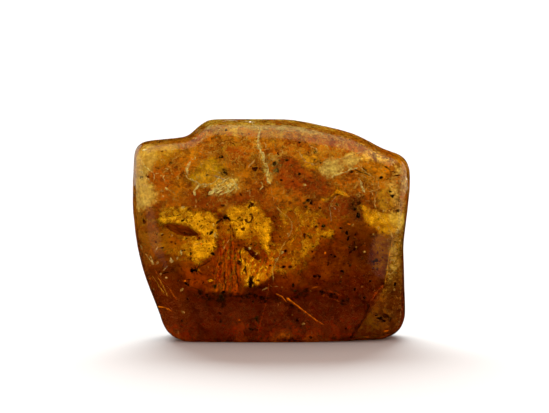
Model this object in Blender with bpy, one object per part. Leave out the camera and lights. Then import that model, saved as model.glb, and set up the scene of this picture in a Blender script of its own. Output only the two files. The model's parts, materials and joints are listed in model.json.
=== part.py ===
"""Insect in amber: a polished block of amber that stands on its flat lower edge.

The block is parted in two along an old flow surface of the resin. An ant, a gnat, a
beetle and scraps of plants lie sealed on that surface, each in its own pocket.
Metres, +Z up. The viewer looks along +Y, with +X to the right.
"""

import math
from collections import namedtuple

import bmesh
import bpy
from mathutils import Matrix, Vector
from mathutils.geometry import delaunay_2d_cdt

MM = 0.001

# The block, in millimetres. A corner has its place in the outline, the radius of its
# rounding, and how far the bevels at the front and at the back reach in from the edge.
Corner = namedtuple("Corner", "x z radius front back")
CORNERS = [
    Corner(-16.7, 0.0, 4.4, 2.6, 2.8),
    Corner(-22.85, 15.7, 40.0, 5.2, 3.6),
    Corner(-22.3, 31.9, 2.5, 3.4, 3.2),
    Corner(-13.7, 32.7, 1.4, 2.8, 2.6),
    Corner(-10.6, 35.6, 3.1, 3.8, 3.4),
    Corner(3.2, 35.6, 21.0, 4.6, 4.0),
    Corner(13.4, 33.4, 14.7, 4.6, 4.2),
    Corner(18.2, 30.6, 11.0, 3.4, 3.6),
    Corner(22.3, 29.5, 3.2, 4.4, 3.2),
    Corner(22.5, 24.8, 24.0, 4.8, 3.2),
    Corner(21.35, 14.9, 13.0, 2.8, 3.4),
    Corner(21.9, 0.0, 3.9, 6.0, 4.2),
    Corner(9.0, 0.0, 0.0, 1.9, 1.7),
    Corner(-8.0, 0.0, 0.0, 1.7, 1.7),
]
HEART = Vector((0.5, 17.0))  # the bevels draw in towards this point of the outline
OUTLINE_STEP = 1.9
ARC_STEP = math.radians(20.0)  # the most that a rounding turns from one point to the next
LATTICE_STEP = 3.4
HALF_DEPTH = 9.4
CROWN = 1.5  # how much the faces fall away from their middle to their rim
LEAN = 1.4  # how much each face leans in from the foot to the top
HALF_WIDTH = 22.4
HEIGHT = 35.6
BEVEL_STEEPNESS = 1.12
BEVEL_ROUNDNESS = 1.85  # 2 is a true ellipse, less is closer to a flat chamfer
BEVEL_RINGS = 6
BEVEL_BLENDS = 6  # passes that even out the width of a bevel from point to point
SIDE_BULGE = 0.5
BULGE_START = 6.0  # height above the foot from which the sides bulge in full
Swell = namedtuple("Swell", "x z width height")
FRONT_SWELLS = [Swell(-12.0, 12.0, 8.0, 0.4), Swell(8.0, 22.0, 8.0, -0.3), Swell(21.0, 30.0, 9.0, -0.8)]
BACK_SWELLS = [Swell(-19.0, 33.0, 13.0, -2.4), Swell(11.0, 12.0, 9.0, 0.5), Swell(22.0, 34.0, 10.0, -1.2)]

# The flow surface that parts the block, in millimetres
PART_GAP = 0.3
WAVE_HEIGHT = 0.9
WAVE_ACROSS = 9.0
WAVE_UP = 11.0

# The things sealed in the amber: their middles in the outline and how they are turned,
# in degrees, clockwise as the viewer sees it
Place = namedtuple("Place", "x z turn")
ANT_PLACE = Place(-12.3, 11.45, 0.0)
GNAT_PLACE = Place(-7.5, 19.5, 0.0)
BEETLE_PLACE = Place(-3.25, 14.0, 40.0)
LEAF_PLACE = Place(-14.2, 17.5, 15.5)
STALK_PLACE = Place(-3.7, 19.4, 0.0)
TWIG_PLACE = Place(13.5, 14.65, -33.0)
BARK_PLACE = Place(7.1, 10.35, 5.0)
PELLET_PLACE = Place(-3.5, 9.5, 82.0)
POCKET_GAP = 0.3

LEAF_LENGTH = 5.4
LEAF_WIDTH = 1.5
LEAF_THICKNESS = 0.16
LEAF_CURL = 0.22
LEAF_RIB = 0.05
LEAF_STATIONS = 14

SEGMENTS = 10  # round the bodies of the insects
CREASE_ANGLE = math.radians(50.0)  # edges sharper than this stay sharp in the shading


def clear_scene():
    """Remove whatever the scene holds."""
    for old in list(bpy.data.objects):
        bpy.data.objects.remove(old, do_unlink=True)


def material(name, colour, roughness, transmission=0.0, ior=1.5):
    """A Principled surface of one colour."""
    finish = bpy.data.materials.new(name)
    finish.use_nodes = True
    shader = finish.node_tree.nodes["Principled BSDF"]
    shader.inputs["Base Color"].default_value = (*colour, 1.0)
    shader.inputs["Roughness"].default_value = roughness
    shader.inputs["Metallic"].default_value = 0.0
    shader.inputs["Transmission Weight"].default_value = transmission
    shader.inputs["IOR"].default_value = ior
    return finish


def add_object(name, bm, finish):
    """Put a mesh that was modelled in millimetres into the scene, in metres."""
    bmesh.ops.scale(bm, vec=(MM, MM, MM), verts=bm.verts)
    bmesh.ops.recalc_face_normals(bm, faces=bm.faces)
    mesh = bpy.data.meshes.new(name)
    bm.to_mesh(mesh)
    bm.free()
    mesh.shade_smooth()
    mesh.set_sharp_from_angle(angle=CREASE_ANGLE)
    mesh.materials.append(finish)
    part = bpy.data.objects.new(name, mesh)
    bpy.context.collection.objects.link(part)
    return part


def hide_cutter(cutter):
    """Mark an object as a tool that only shapes others."""
    cutter.hide_render = True
    cutter.display_type = "WIRE"


def boolean(part, cutter, operation, join_self=False):
    """Cut or join one object with another."""
    step = part.modifiers.new(f"{operation.lower()}_{cutter.name}", "BOOLEAN")
    step.object = cutter
    step.operation = operation
    step.solver = "EXACT"
    step.use_self = join_self


def ease(t):
    """Go from 0 to 1 with a soft start and a soft end."""
    t = min(1.0, max(0.0, t))
    return t * t * (3.0 - 2.0 * t)


# Outline of the block


def corner_arc(index):
    """The points that round one corner, from its first tangent point to its last."""
    here = CORNERS[index]
    spot = Vector((here.x, here.z))
    before = CORNERS[index - 1]
    after = CORNERS[(index + 1) % len(CORNERS)]
    back = (Vector((before.x, before.z)) - spot).normalized()
    ahead = (Vector((after.x, after.z)) - spot).normalized()
    turn = math.pi - back.angle(ahead)
    if here.radius == 0.0:
        return [spot]
    reach = here.radius * math.tan(turn / 2.0)
    centre = spot + (back + ahead).normalized() * here.radius / math.cos(turn / 2.0)
    start = spot + back * reach - centre
    end = spot + ahead * reach - centre
    sweep = math.atan2(start.x * end.y - start.y * end.x, start.dot(end))
    count = max(2, round(here.radius * turn / OUTLINE_STEP), round(turn / ARC_STEP))
    return [centre + Matrix.Rotation(sweep * k / count, 2) @ start for k in range(count + 1)]


def even_out(widths):
    """Blend each width with its neighbours round the rim."""
    count = len(widths)
    for _ in range(BEVEL_BLENDS):
        widths = [(widths[k - 1] + 2.0 * widths[k] + widths[(k + 1) % count]) / 4.0 for k in range(count)]
    return widths


def outline():
    """The rim of the block: points with the widths of their two bevels."""
    arcs = [corner_arc(index) for index in range(len(CORNERS))]
    rim = []
    for index, arc in enumerate(arcs):
        here = CORNERS[index]
        following = CORNERS[(index + 1) % len(CORNERS)]
        rim.extend((spot, here.front, here.back) for spot in arc)
        start = arc[-1]
        end = arcs[(index + 1) % len(arcs)][0]
        count = max(1, round((end - start).length / OUTLINE_STEP))
        for k in range(1, count):
            share = k / count
            front = here.front + (following.front - here.front) * share
            back = here.back + (following.back - here.back) * share
            rim.append((start.lerp(end, share), front, back))
    spots, fronts, backs = zip(*rim)
    return list(zip(spots, even_out(fronts), even_out(backs)))


# Surfaces that lie across the block


def swell(spots, x, z):
    """The sum of low round swells and hollows at one point."""
    return sum(s.height * math.exp(-((x - s.x) ** 2 + (z - s.z) ** 2) / s.width**2) for s in spots)


def face_y(side, x, z):
    """How deep the front face (side -1) or the back face (side 1) lies at a point."""
    fall = CROWN * ((x / HALF_WIDTH) ** 2 + (2.0 * z / HEIGHT - 1.0) ** 2)
    swells = FRONT_SWELLS if side < 0 else BACK_SWELLS
    return side * (HALF_DEPTH - fall - LEAN * z / HEIGHT + swell(swells, x, z))


def flow_y(x, z):
    """How deep the flow surface lies at a point."""
    return WAVE_HEIGHT * math.sin(x / WAVE_ACROSS + 0.6) * math.cos(z / WAVE_UP - 0.9)


def bevel_ring(rim, side, theta):
    """One ring of the bevel: theta runs from 0 at the side wall to 90 degrees at the face."""
    power = 2.0 / BEVEL_ROUNDNESS
    inward = 1.0 - max(0.0, math.cos(theta)) ** power
    forward = math.sin(theta) ** power
    ring = []
    for spot, front, back in rim:
        width = front if side < 0 else back
        to_heart = (HEART - spot).normalized()
        inner = spot + to_heart * width
        bulge = SIDE_BULGE * ease(spot.y / BULGE_START)
        place = spot + to_heart * (bulge + (width - bulge) * inward)
        depth = width * BEVEL_STEEPNESS
        y = face_y(side, inner.x, inner.y) - side * depth * (1.0 - forward)
        ring.append(Vector((place.x, y, place.y)))
    return ring


def flow_ring(rim, side):
    """The rim of one half where it meets the flow surface."""
    lift = side * PART_GAP / 2.0
    return [Vector((spot.x, flow_y(spot.x, spot.y) + lift, spot.y)) for spot, _, _ in rim]


def is_inside(spot, polygon):
    """Whether a point lies inside a polygon: an odd number of its sides pass to the right."""
    crossings = 0
    for a, b in zip(polygon, polygon[1:] + polygon[:1]):
        if (a.y > spot.y) != (b.y > spot.y):
            at = a.x + (spot.y - a.y) * (b.x - a.x) / (b.y - a.y)
            crossings += at > spot.x
    return crossings % 2 == 1


def lattice(polygon):
    """An even lattice of points inside a polygon, clear of its sides."""
    row_height = LATTICE_STEP * math.sqrt(3.0) / 2.0
    reach = math.ceil(HALF_WIDTH / LATTICE_STEP)
    points = []
    for row in range(math.ceil(HEIGHT / row_height)):
        for column in range(-reach, reach + 1):
            spot = Vector(((column + 0.5 * (row % 2)) * LATTICE_STEP, row * row_height))
            clear = min((spot - corner).length for corner in polygon) > 0.5 * LATTICE_STEP
            if clear and is_inside(spot, polygon):
                points.append(spot)
    return points


def fill_ring(bm, ring, depth_at):
    """Close a ring of vertices with a lattice of triangles that follows a surface."""
    polygon = [Vector((vert.co.x, vert.co.z)) for vert in ring]
    inner = lattice(polygon)
    count = len(polygon)
    sides = [(k, (k + 1) % count) for k in range(count)]
    spots, _, triangles, origins, _, _ = delaunay_2d_cdt(polygon + inner, sides, [], 1, 1e-6)
    verts = []
    for spot, origin in zip(spots, origins):
        if origin and origin[0] < count:
            verts.append(ring[origin[0]])
        else:
            verts.append(bm.verts.new((spot.x, depth_at(spot.x, spot.y), spot.y)))
    for triangle in triangles:
        bm.faces.new([verts[index] for index in triangle])


def amber_half(name, side, finish):
    """One half of the block: side -1 is the front, side 1 is the back."""
    rim = outline()
    bm = bmesh.new()
    thetas = [math.pi / 2.0 * k / BEVEL_RINGS for k in range(BEVEL_RINGS + 1)]
    places = [flow_ring(rim, side)] + [bevel_ring(rim, side, theta) for theta in thetas]
    rings = [[bm.verts.new(place) for place in ring] for ring in places]
    for lower, upper in zip(rings, rings[1:]):
        for k in range(len(rim)):
            after = (k + 1) % len(rim)
            bm.faces.new((lower[k], lower[after], upper[after], upper[k]))
    fill_ring(bm, rings[0], lambda x, z: flow_y(x, z) + side * PART_GAP / 2.0)
    fill_ring(bm, rings[-1], lambda x, z: face_y(side, x, z))
    return add_object(name, bm, finish)


# Insects and scraps. Each is modelled round its own middle, in millimetres: X runs
# along it, Z is up as the viewer sees it, and -Y is towards the viewer.


def ellipsoid(bm, centre, radii, turn=0.0):
    """An egg shape, turned in the viewer's plane by so many degrees clockwise."""
    place = Matrix.Translation(centre) @ Matrix.Rotation(math.radians(turn), 4, "Y")
    stretch = Matrix.Diagonal((*radii, 1.0))
    upright = Matrix.Rotation(math.radians(90.0), 4, "Y")  # the poles lie along the body
    bmesh.ops.create_uvsphere(
        bm, u_segments=SEGMENTS, v_segments=SEGMENTS // 2, radius=1.0, matrix=place @ stretch @ upright
    )


def rods(name, routes, root, tip, finish, resolution=0):
    """Thin rods along their routes, four-sided unless finer, as one hidden object."""
    curve = bpy.data.curves.new(name, "CURVE")
    curve.dimensions = "3D"
    curve.bevel_depth = MM
    curve.bevel_resolution = resolution
    curve.use_fill_caps = True
    for route in routes:
        spline = curve.splines.new("POLY")
        spline.points.add(len(route) - 1)
        for k, (point, (x, y, z)) in enumerate(zip(spline.points, route)):
            point.co = (x * MM, y * MM, z * MM, 1.0)
            point.radius = root + (tip - root) * k / (len(route) - 1)
    drawn = bpy.data.objects.new(name, curve)
    bpy.context.collection.objects.link(drawn)
    bpy.context.view_layer.update()
    mesh = bpy.data.meshes.new_from_object(drawn.evaluated_get(bpy.context.evaluated_depsgraph_get()))
    bpy.data.objects.remove(drawn, do_unlink=True)
    mesh.materials.clear()
    mesh.materials.append(finish)
    solid = bpy.data.objects.new(name, mesh)
    bpy.context.collection.objects.link(solid)
    hide_cutter(solid)
    return solid


def insect(name, bodies, routes, root, tip, finish):
    """A body of egg shapes with its limbs joined on."""
    bm = bmesh.new()
    for centre, radii, turn in bodies:
        ellipsoid(bm, centre, radii, turn)
    body = add_object(name, bm, finish)
    limbs = rods(f"{name}_limbs", routes, root, tip, finish)
    boolean(body, limbs, "UNION", join_self=True)
    return [body, limbs]


def ant(finish):
    """An ant: gaster, waist, thorax and head, with one long feeler held up."""
    bodies = [
        ((-0.34, 0.0, -0.02), (0.30, 0.25, 0.28), 0.0),
        ((-0.06, 0.0, 0.00), (0.12, 0.09, 0.10), 0.0),
        ((0.20, 0.0, 0.05), (0.25, 0.18, 0.21), -10.0),
        ((0.47, 0.0, 0.10), (0.17, 0.16, 0.14), 15.0),
    ]
    routes = [
        [(0.45, -0.04, 0.10), (0.62, -0.12, 0.52), (1.50, -0.20, 0.82), (2.10, -0.15, 1.20), (2.70, -0.10, 1.60)],
        [(0.45, 0.04, 0.10), (0.70, 0.16, 0.60), (0.98, 0.20, 1.28)],
        [(0.24, -0.05, 0.00), (0.40, -0.30, -0.22), (0.62, -0.34, -0.72)],
        [(0.24, 0.05, 0.00), (0.70, 0.22, -0.30), (1.28, 0.26, -0.64)],
        [(0.12, -0.05, 0.00), (0.02, -0.32, -0.18), (-0.08, -0.36, -0.56)],
        [(0.12, 0.05, 0.06), (0.00, 0.24, 0.34), (-0.16, 0.26, 0.62)],
        [(0.10, -0.05, 0.06), (0.16, -0.26, 0.36), (0.22, -0.30, 0.64)],
        [(0.04, 0.05, 0.00), (-0.22, 0.30, -0.30), (-0.46, 0.34, -0.58)],
    ]
    return insect("ant", bodies, routes, root=0.058, tip=0.040, finish=finish)


def gnat(finish):
    """A gnat seen from its side: humped thorax, thin hanging abdomen, two folded wings."""
    bodies = [
        ((0.06, 0.0, 0.12), (0.36, 0.26, 0.30), 20.0),
        ((0.44, 0.0, -0.08), (0.17, 0.17, 0.16), 0.0),
        ((-0.46, 0.0, -0.22), (0.48, 0.13, 0.14), -42.0),
        ((-0.98, 0.0, -0.64), (0.46, 0.17, 0.19), -48.0),
        ((-0.56, -0.22, 0.12), (0.62, 0.03, 0.20), -12.0),
        ((-0.52, 0.22, 0.08), (0.62, 0.03, 0.19), -20.0),
        ((-0.02, -0.13, 0.14), (0.10, 0.14, 0.08), 0.0),
        ((-0.02, 0.13, 0.14), (0.10, 0.14, 0.08), 0.0),
    ]
    routes = [
        [(0.10, -0.06, 0.00), (0.52, -0.26, -0.28), (0.86, -0.30, -0.52)],
        [(0.10, 0.06, 0.00), (0.44, 0.28, 0.06), (0.98, 0.34, -0.24)],
        [(0.02, -0.06, 0.00), (0.04, -0.34, -0.36), (-0.14, -0.38, -0.66)],
        [(0.02, 0.06, 0.00), (-0.10, 0.34, -0.40), (-0.36, 0.40, -0.84)],
        [(-0.04, -0.06, 0.04), (-0.64, -0.42, -0.50), (-1.24, -0.46, -0.92)],
        [(-0.04, 0.06, 0.04), (-0.76, 0.40, -0.30), (-1.36, 0.46, -0.60)],
        [(0.46, -0.04, 0.00), (0.62, -0.12, 0.16), (0.84, -0.16, 0.22)],
        [(0.46, 0.04, 0.00), (0.64, 0.14, 0.08), (0.88, 0.18, 0.08)],
    ]
    return insect("gnat", bodies, routes, root=0.054, tip=0.036, finish=finish)


def beetle(finish):
    """A slender beetle: two wing cases with a seam between them, collar, head and short legs."""
    bodies = [
        ((0.42, -0.10, 0.15), (1.30, 0.26, 0.29), 1.5),
        ((0.42, -0.10, -0.15), (1.30, 0.26, 0.29), -1.5),
        ((0.40, 0.10, 0.0), (1.16, 0.24, 0.37), 0.0),
        ((-1.02, 0.0, 0.0), (0.40, 0.27, 0.34), 0.0),
        ((-1.44, 0.0, 0.0), (0.24, 0.19, 0.22), 0.0),
    ]
    one_side = [
        [(-1.56, 0.02, 0.10), (-1.80, 0.0, 0.32), (-1.98, -0.06, 0.44)],
        [(-1.04, 0.12, 0.10), (-1.22, 0.14, 0.52), (-1.42, 0.10, 0.66)],
        [(-0.30, 0.14, 0.10), (-0.34, 0.18, 0.56), (-0.10, 0.16, 0.70)],
        [(0.24, 0.14, 0.10), (0.40, 0.18, 0.52), (0.74, 0.16, 0.66)],
    ]
    routes = one_side + [[(x, y, -z) for x, y, z in route] for route in one_side]
    return insect("beetle", bodies, routes, root=0.058, tip=0.038, finish=finish)


def leaf_fragment(finish):
    """A narrow scrap of leaf: a lens outline, a raised middle rib and a slight curl."""
    bm = bmesh.new()
    rows = []
    for k in range(1, LEAF_STATIONS):
        t = k / LEAF_STATIONS
        x = LEAF_LENGTH * (t - 0.5)
        half = 0.5 * LEAF_WIDTH * math.sin(math.pi * t) ** 0.7
        thick = 0.5 * LEAF_THICKNESS * math.sin(math.pi * t) ** 0.5
        curl = LEAF_CURL * (2.0 * t - 1.0) ** 2
        section = [
            (-1.0, 0.0), (-0.5, -1.0), (0.0, -1.0 - LEAF_RIB / LEAF_THICKNESS), (0.5, -1.0),
            (1.0, 0.0), (0.5, 1.0), (0.0, 1.0), (-0.5, 1.0),
        ]
        rows.append([bm.verts.new((x, curl + side * thick, up * half)) for up, side in section])
    for lower, upper in zip(rows, rows[1:]):
        for k in range(len(lower)):
            after = (k + 1) % len(lower)
            bm.faces.new((lower[k], lower[after], upper[after], upper[k]))
    for end, row in ((-1.0, rows[0]), (1.0, rows[-1])):
        tip = bm.verts.new((end * LEAF_LENGTH / 2.0, LEAF_CURL, 0.0))
        for k in range(len(row)):
            bm.faces.new((row[k], row[(k + 1) % len(row)], tip))
    return [add_object("leaf_fragment", bm, finish)]


def rod(name, route, knots, root, tip, finish):
    """A crooked rod with swollen knots along it."""
    bm = bmesh.new()
    for centre, radii, turn in knots:
        ellipsoid(bm, centre, radii, turn)
    body = add_object(name, bm, finish)
    core = rods(f"{name}_core", [route], root, tip, finish, resolution=1)
    boolean(body, core, "UNION", join_self=True)
    return [body, core]


def twig(finish):
    """A slender dark twig, thicker at one end."""
    route = [(-1.38, 0.0, -0.02), (-0.70, 0.06, 0.05), (0.10, 0.0, -0.02), (0.80, -0.05, 0.04), (1.40, 0.0, -0.03)]
    knots = [
        ((-1.02, 0.02, 0.01), (0.44, 0.18, 0.20), 4.0),
        ((-0.34, 0.04, 0.03), (0.38, 0.15, 0.17), -6.0),
        ((0.94, -0.04, 0.02), (0.34, 0.11, 0.13), 3.0),
    ]
    return rod("twig", route, knots, root=0.15, tip=0.07, finish=finish)


def curled_stalk(finish):
    """A short stalk curled into a hook."""
    route = [
        (-0.66, 0.0, -0.14), (-0.34, -0.06, -0.50), (-0.02, -0.10, -0.64), (0.34, -0.06, -0.36),
        (0.56, 0.0, 0.08), (0.58, 0.05, 0.42), (0.34, 0.10, 0.68), (0.06, 0.12, 0.62),
    ]
    knots = [((-0.48, -0.03, -0.34), (0.30, 0.16, 0.18), 48.0), ((0.56, 0.0, 0.20), (0.18, 0.15, 0.34), -8.0)]
    return rod("curled_stalk", route, knots, root=0.15, tip=0.11, finish=finish)


def bark_clump(finish):
    """Three crumbs of bark stuck together."""
    route = [(-0.45, 0.0, -0.08), (0.0, 0.02, 0.04), (0.46, 0.0, -0.02)]
    knots = [
        ((-0.38, 0.0, -0.09), (0.29, 0.24, 0.23), 20.0),
        ((0.02, 0.04, 0.09), (0.26, 0.27, 0.21), -15.0),
        ((0.40, -0.02, -0.03), (0.27, 0.22, 0.26), 35.0),
    ]
    return rod("bark_clump", route, knots, root=0.10, tip=0.10, finish=finish)


def frass_pellet(finish):
    """A droppings pellet with a thin tail."""
    route = [(-1.05, 0.05, 0.10), (-0.55, 0.0, 0.02), (0.30, 0.0, 0.0)]
    knots = [((0.10, 0.0, 0.0), (0.58, 0.32, 0.42), 0.0), ((0.38, -0.05, -0.04), (0.38, 0.29, 0.37), 10.0)]
    return rod("frass_pellet", route, knots, root=0.05, tip=0.12, finish=finish)


# Putting it together


def pocket(body, extras):
    """An egg-shaped pocket that clears a sealed thing and its limbs on every side."""
    spots = [vert.co / MM for part in (body, *extras) for vert in part.data.vertices]
    low = Vector([min(spot[k] for spot in spots) for k in range(3)])
    high = Vector([max(spot[k] for spot in spots) for k in range(3)])
    middle = (low + high) / 2.0
    half = (high - low) / 2.0
    stretch = max(math.sqrt(sum(((s[k] - middle[k]) / half[k]) ** 2 for k in range(3))) for s in spots)
    radii = [side * stretch + POCKET_GAP for side in half]
    bm = bmesh.new()
    ellipsoid(bm, middle, radii)
    cutter = add_object(f"{body.name}_pocket", bm, body.data.materials[0])
    hide_cutter(cutter)
    return cutter


def seal_in(parts, place, halves):
    """Lay a thing on the flow surface and open a pocket round it in both halves."""
    body = parts[0]
    cutter = pocket(body, parts[1:])
    depth = flow_y(place.x, place.z)
    for part in (*parts, cutter):
        part.location = Vector((place.x, depth, place.z)) * MM
        part.rotation_euler = (0.0, math.radians(place.turn), 0.0)
    for half in halves:
        boolean(half, cutter, "DIFFERENCE")


def centre_on_base(halves):
    """Move everything so that the middle of the block's foot print is the origin."""
    spots = [vert.co for half in halves for vert in half.data.vertices]
    middle_x = (min(spot.x for spot in spots) + max(spot.x for spot in spots)) / 2.0
    middle_y = (min(spot.y for spot in spots) + max(spot.y for spot in spots)) / 2.0
    for part in bpy.data.objects:
        part.location -= Vector((middle_x, middle_y, 0.0))


def main():
    """Build the block and everything sealed in it."""
    clear_scene()
    amber = material("amber", (0.86, 0.42, 0.05), 0.04, transmission=1.0, ior=1.54)
    black = material("insect_black", (0.02, 0.012, 0.008), 0.35)
    gnat_brown = material("gnat_brown", (0.05, 0.022, 0.01), 0.4)
    beetle_brown = material("beetle_brown", (0.16, 0.05, 0.015), 0.3)
    leaf_brown = material("leaf_brown", (0.20, 0.07, 0.02), 0.6)
    plant_brown = material("plant_brown", (0.09, 0.03, 0.012), 0.7)
    halves = [amber_half("amber_front", -1, amber), amber_half("amber_back", 1, amber)]
    seal_in(ant(black), ANT_PLACE, halves)
    seal_in(gnat(gnat_brown), GNAT_PLACE, halves)
    seal_in(beetle(beetle_brown), BEETLE_PLACE, halves)
    seal_in(leaf_fragment(leaf_brown), LEAF_PLACE, halves)
    seal_in(curled_stalk(plant_brown), STALK_PLACE, halves)
    seal_in(twig(plant_brown), TWIG_PLACE, halves)
    seal_in(bark_clump(plant_brown), BARK_PLACE, halves)
    seal_in(frass_pellet(plant_brown), PELLET_PLACE, halves)
    centre_on_base(halves)


main()
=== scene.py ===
"""Insect in amber: the looks of the polished block and of all that lies sealed in it.

The clear block is one piece in place of the two solid halves. Cloudy flow layers, old
fractures, bubbles and specks lie inside it, round the insects and plant scraps.
Metres, +Z up. The viewer looks along +Y, with +X to the right.
"""

import json
import math
import random
from collections import namedtuple

import bpy
from bpy.props import FloatProperty, FloatVectorProperty, IntProperty, PointerProperty
from bpy.types import Operator, Panel, PropertyGroup
import numpy as np
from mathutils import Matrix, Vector
from mathutils.bvhtree import BVHTree

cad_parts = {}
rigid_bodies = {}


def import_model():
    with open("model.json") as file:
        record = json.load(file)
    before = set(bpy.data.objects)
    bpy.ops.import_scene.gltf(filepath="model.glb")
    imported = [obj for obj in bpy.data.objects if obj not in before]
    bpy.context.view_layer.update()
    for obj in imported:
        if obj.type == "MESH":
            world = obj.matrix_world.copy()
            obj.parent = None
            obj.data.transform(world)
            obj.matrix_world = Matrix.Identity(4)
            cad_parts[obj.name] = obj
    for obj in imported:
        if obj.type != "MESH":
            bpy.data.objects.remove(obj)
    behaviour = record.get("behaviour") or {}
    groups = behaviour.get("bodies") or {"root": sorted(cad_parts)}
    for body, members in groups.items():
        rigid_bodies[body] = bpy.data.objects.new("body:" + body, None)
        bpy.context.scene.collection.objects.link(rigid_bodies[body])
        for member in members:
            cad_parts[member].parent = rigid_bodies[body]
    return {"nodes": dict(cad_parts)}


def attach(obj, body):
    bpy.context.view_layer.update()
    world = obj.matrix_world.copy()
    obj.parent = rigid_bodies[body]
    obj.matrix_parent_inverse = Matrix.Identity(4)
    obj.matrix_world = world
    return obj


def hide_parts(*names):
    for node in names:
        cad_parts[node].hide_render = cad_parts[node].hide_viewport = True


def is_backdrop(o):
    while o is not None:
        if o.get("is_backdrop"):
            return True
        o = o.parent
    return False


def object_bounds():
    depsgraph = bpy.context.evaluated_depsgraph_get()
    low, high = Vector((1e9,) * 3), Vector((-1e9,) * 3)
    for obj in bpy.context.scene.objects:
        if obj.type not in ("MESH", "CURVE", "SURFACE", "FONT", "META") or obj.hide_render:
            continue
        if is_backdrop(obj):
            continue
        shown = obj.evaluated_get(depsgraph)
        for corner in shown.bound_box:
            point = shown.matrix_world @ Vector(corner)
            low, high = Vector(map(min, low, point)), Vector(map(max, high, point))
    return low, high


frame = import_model()
CAD_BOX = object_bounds()

bl_info = {
    "name": "Insect in amber",
    "version": (1, 0, 0),
    "blender": (4, 5, 0),
    "location": "3D View > Sidebar > Amber",
    "description": "Finishes a polished block of amber and what is sealed in it",
    "category": "Object",
}

MM = 0.001

# The photo's frame in its own pixels, and where the block stands in it
PHOTO_WIDTH = 549
PHOTO_HEIGHT = 413
BLOCK_MIDDLE = 271.4
BLOCK_FOOT = 337.9
BLOCK_PIXELS = 277
PIXEL = (CAD_BOX[1].x - CAD_BOX[0].x) / BLOCK_PIXELS

MERGE_WITHIN = 0.001 * MM
FIT_SLACK = 1e-4
EVERY_PIECE_RIDES_ON = "root"


def tone(red, green, blue):
    """A colour as a screen shows it, 0 to 255, as the linear colour that shaders take.

    The tables below hold their colours as a screen shows them.
    """
    return tuple(
        part / 255 / 12.92 if part <= 10 else ((part / 255 + 0.055) / 1.055) ** 2.4
        for part in (red, green, blue)
    )


# Shader expressions


class Value:
    """A socket of a finish that takes part in Python expressions."""

    def __init__(self, finish, socket):
        self.finish = finish
        self.socket = socket

    def __add__(self, other):
        return self.finish.math("ADD", self, other)

    def __sub__(self, other):
        return self.finish.math("SUBTRACT", self, other)

    def __mul__(self, other):
        return self.finish.math("MULTIPLY", self, other)

    def __truediv__(self, other):
        return self.finish.math("DIVIDE", self, other)

    def __rsub__(self, other):
        return self.finish.math("SUBTRACT", other, self)

    __radd__ = __add__
    __rmul__ = __mul__


class Finish:
    """A material, and the nodes that make it up."""

    def __init__(self, name):
        self.material = bpy.data.materials.new(name)
        self.material.use_nodes = True
        self.tree = self.material.node_tree
        self.shader = self.tree.nodes["Principled BSDF"]
        self.output = self.tree.nodes["Material Output"]

    def feed(self, socket, value):
        """Link a value to a socket, or set the socket's own number, colour or vector."""
        if isinstance(value, Value):
            self.tree.links.new(value.socket, socket)
        elif socket.type == "RGBA":
            socket.default_value = (*value, 1.0)
        else:
            socket.default_value = value

    def node(self, kind, settings=None, inputs=None, output=0):
        """Add a node of a type, with its settings made first and then its sockets fed."""
        made = self.tree.nodes.new("ShaderNode" + kind)
        for key, value in (settings or {}).items():
            if key == "stops":
                for end in (0, -1):
                    made.color_ramp.elements[end].position = value[end][0]
                    made.color_ramp.elements[end].color = value[end][1]
                for place, colour in value[1:-1]:
                    made.color_ramp.elements.new(place).color = colour
            else:
                setattr(made, key, value)
        for key, value in (inputs or {}).items():
            self.feed(made.inputs[key], value)
        return Value(self, made.outputs[output])

    def math(self, operation, *values):
        return self.node("Math", {"operation": operation}, dict(enumerate(values)))

    def vector(self, operation, *values):
        return self.node("VectorMath", {"operation": operation}, dict(enumerate(values)))

    def scaled(self, vector, factor):
        return self.node("VectorMath", {"operation": "SCALE"}, {0: vector, "Scale": factor})

    def mix(self, share, first, second):
        """The first colour where the share is 0 and the second where it is 1."""
        return self.node("Mix", {"data_type": "RGBA"}, {0: share, 6: first, 7: second}, 2)

    def fade(self, value, low, high, start=0.0, end=1.0):
        """A smooth step from start to end as the value goes from low to high."""
        return self.node(
            "MapRange",
            {"interpolation_type": "SMOOTHSTEP"},
            {"Value": value, 1: low, 2: high, 3: start, 4: end},
        )

    def place(self):
        """Where a point of the piece is, in millimetres."""
        return self.scaled(self.node("TexCoord", output="Object"), 1 / MM)

    def grain(self, where, size, detail=3.0, roughness=0.55, output=0):
        """Cloudy noise, 0 to 1, with lumps of about a size in millimetres."""
        inputs = {"Vector": where, "Scale": 1 / size, "Detail": detail, "Roughness": roughness}
        return self.node("TexNoise", inputs=inputs, output=output)

    def cells(self, where, size):
        """How far it is to the middle of the nearest of many cells of a size in millimetres."""
        return self.node("TexVoronoi", inputs={"Vector": where, "Scale": 1 / size}, output="Distance")

    def stretched(self, where, turn=(0, 0, 0), scale=(1, 1, 1)):
        """Coordinates turned and divided by a scale."""
        inputs = {"Vector": where, "Rotation": turn, "Scale": scale}
        return self.node("Mapping", {"vector_type": "TEXTURE"}, inputs)

    def astray(self, place, size, far):
        """Places shifted by cloudy noise of a size, up to about half of a distance."""
        wander = self.grain(place, size, 4.0, 0.6, output="Color")
        wander = self.vector("SUBTRACT", wander, (0.5, 0.5, 0.5))
        return self.vector("ADD", place, self.scaled(wander, far))

    def bump(self, height, depth):
        """A normal from a height of 0 to 1, where 1 stands a depth in metres proud."""
        return self.node("Bump", inputs={"Height": height, "Distance": depth})

    def surface(self, **sockets):
        """Feed the shader's own sockets, named with _ for a space."""
        for key, value in sockets.items():
            self.feed(self.shader.inputs[key.replace("_", " ")], value)
        return self.material


# Modelling by hand


def take(*chosen):
    """Select these objects alone, with the last one active."""
    bpy.ops.object.select_all(action="DESELECT")
    for piece in chosen:
        piece.select_set(True)
        bpy.context.view_layer.objects.active = piece


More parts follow.
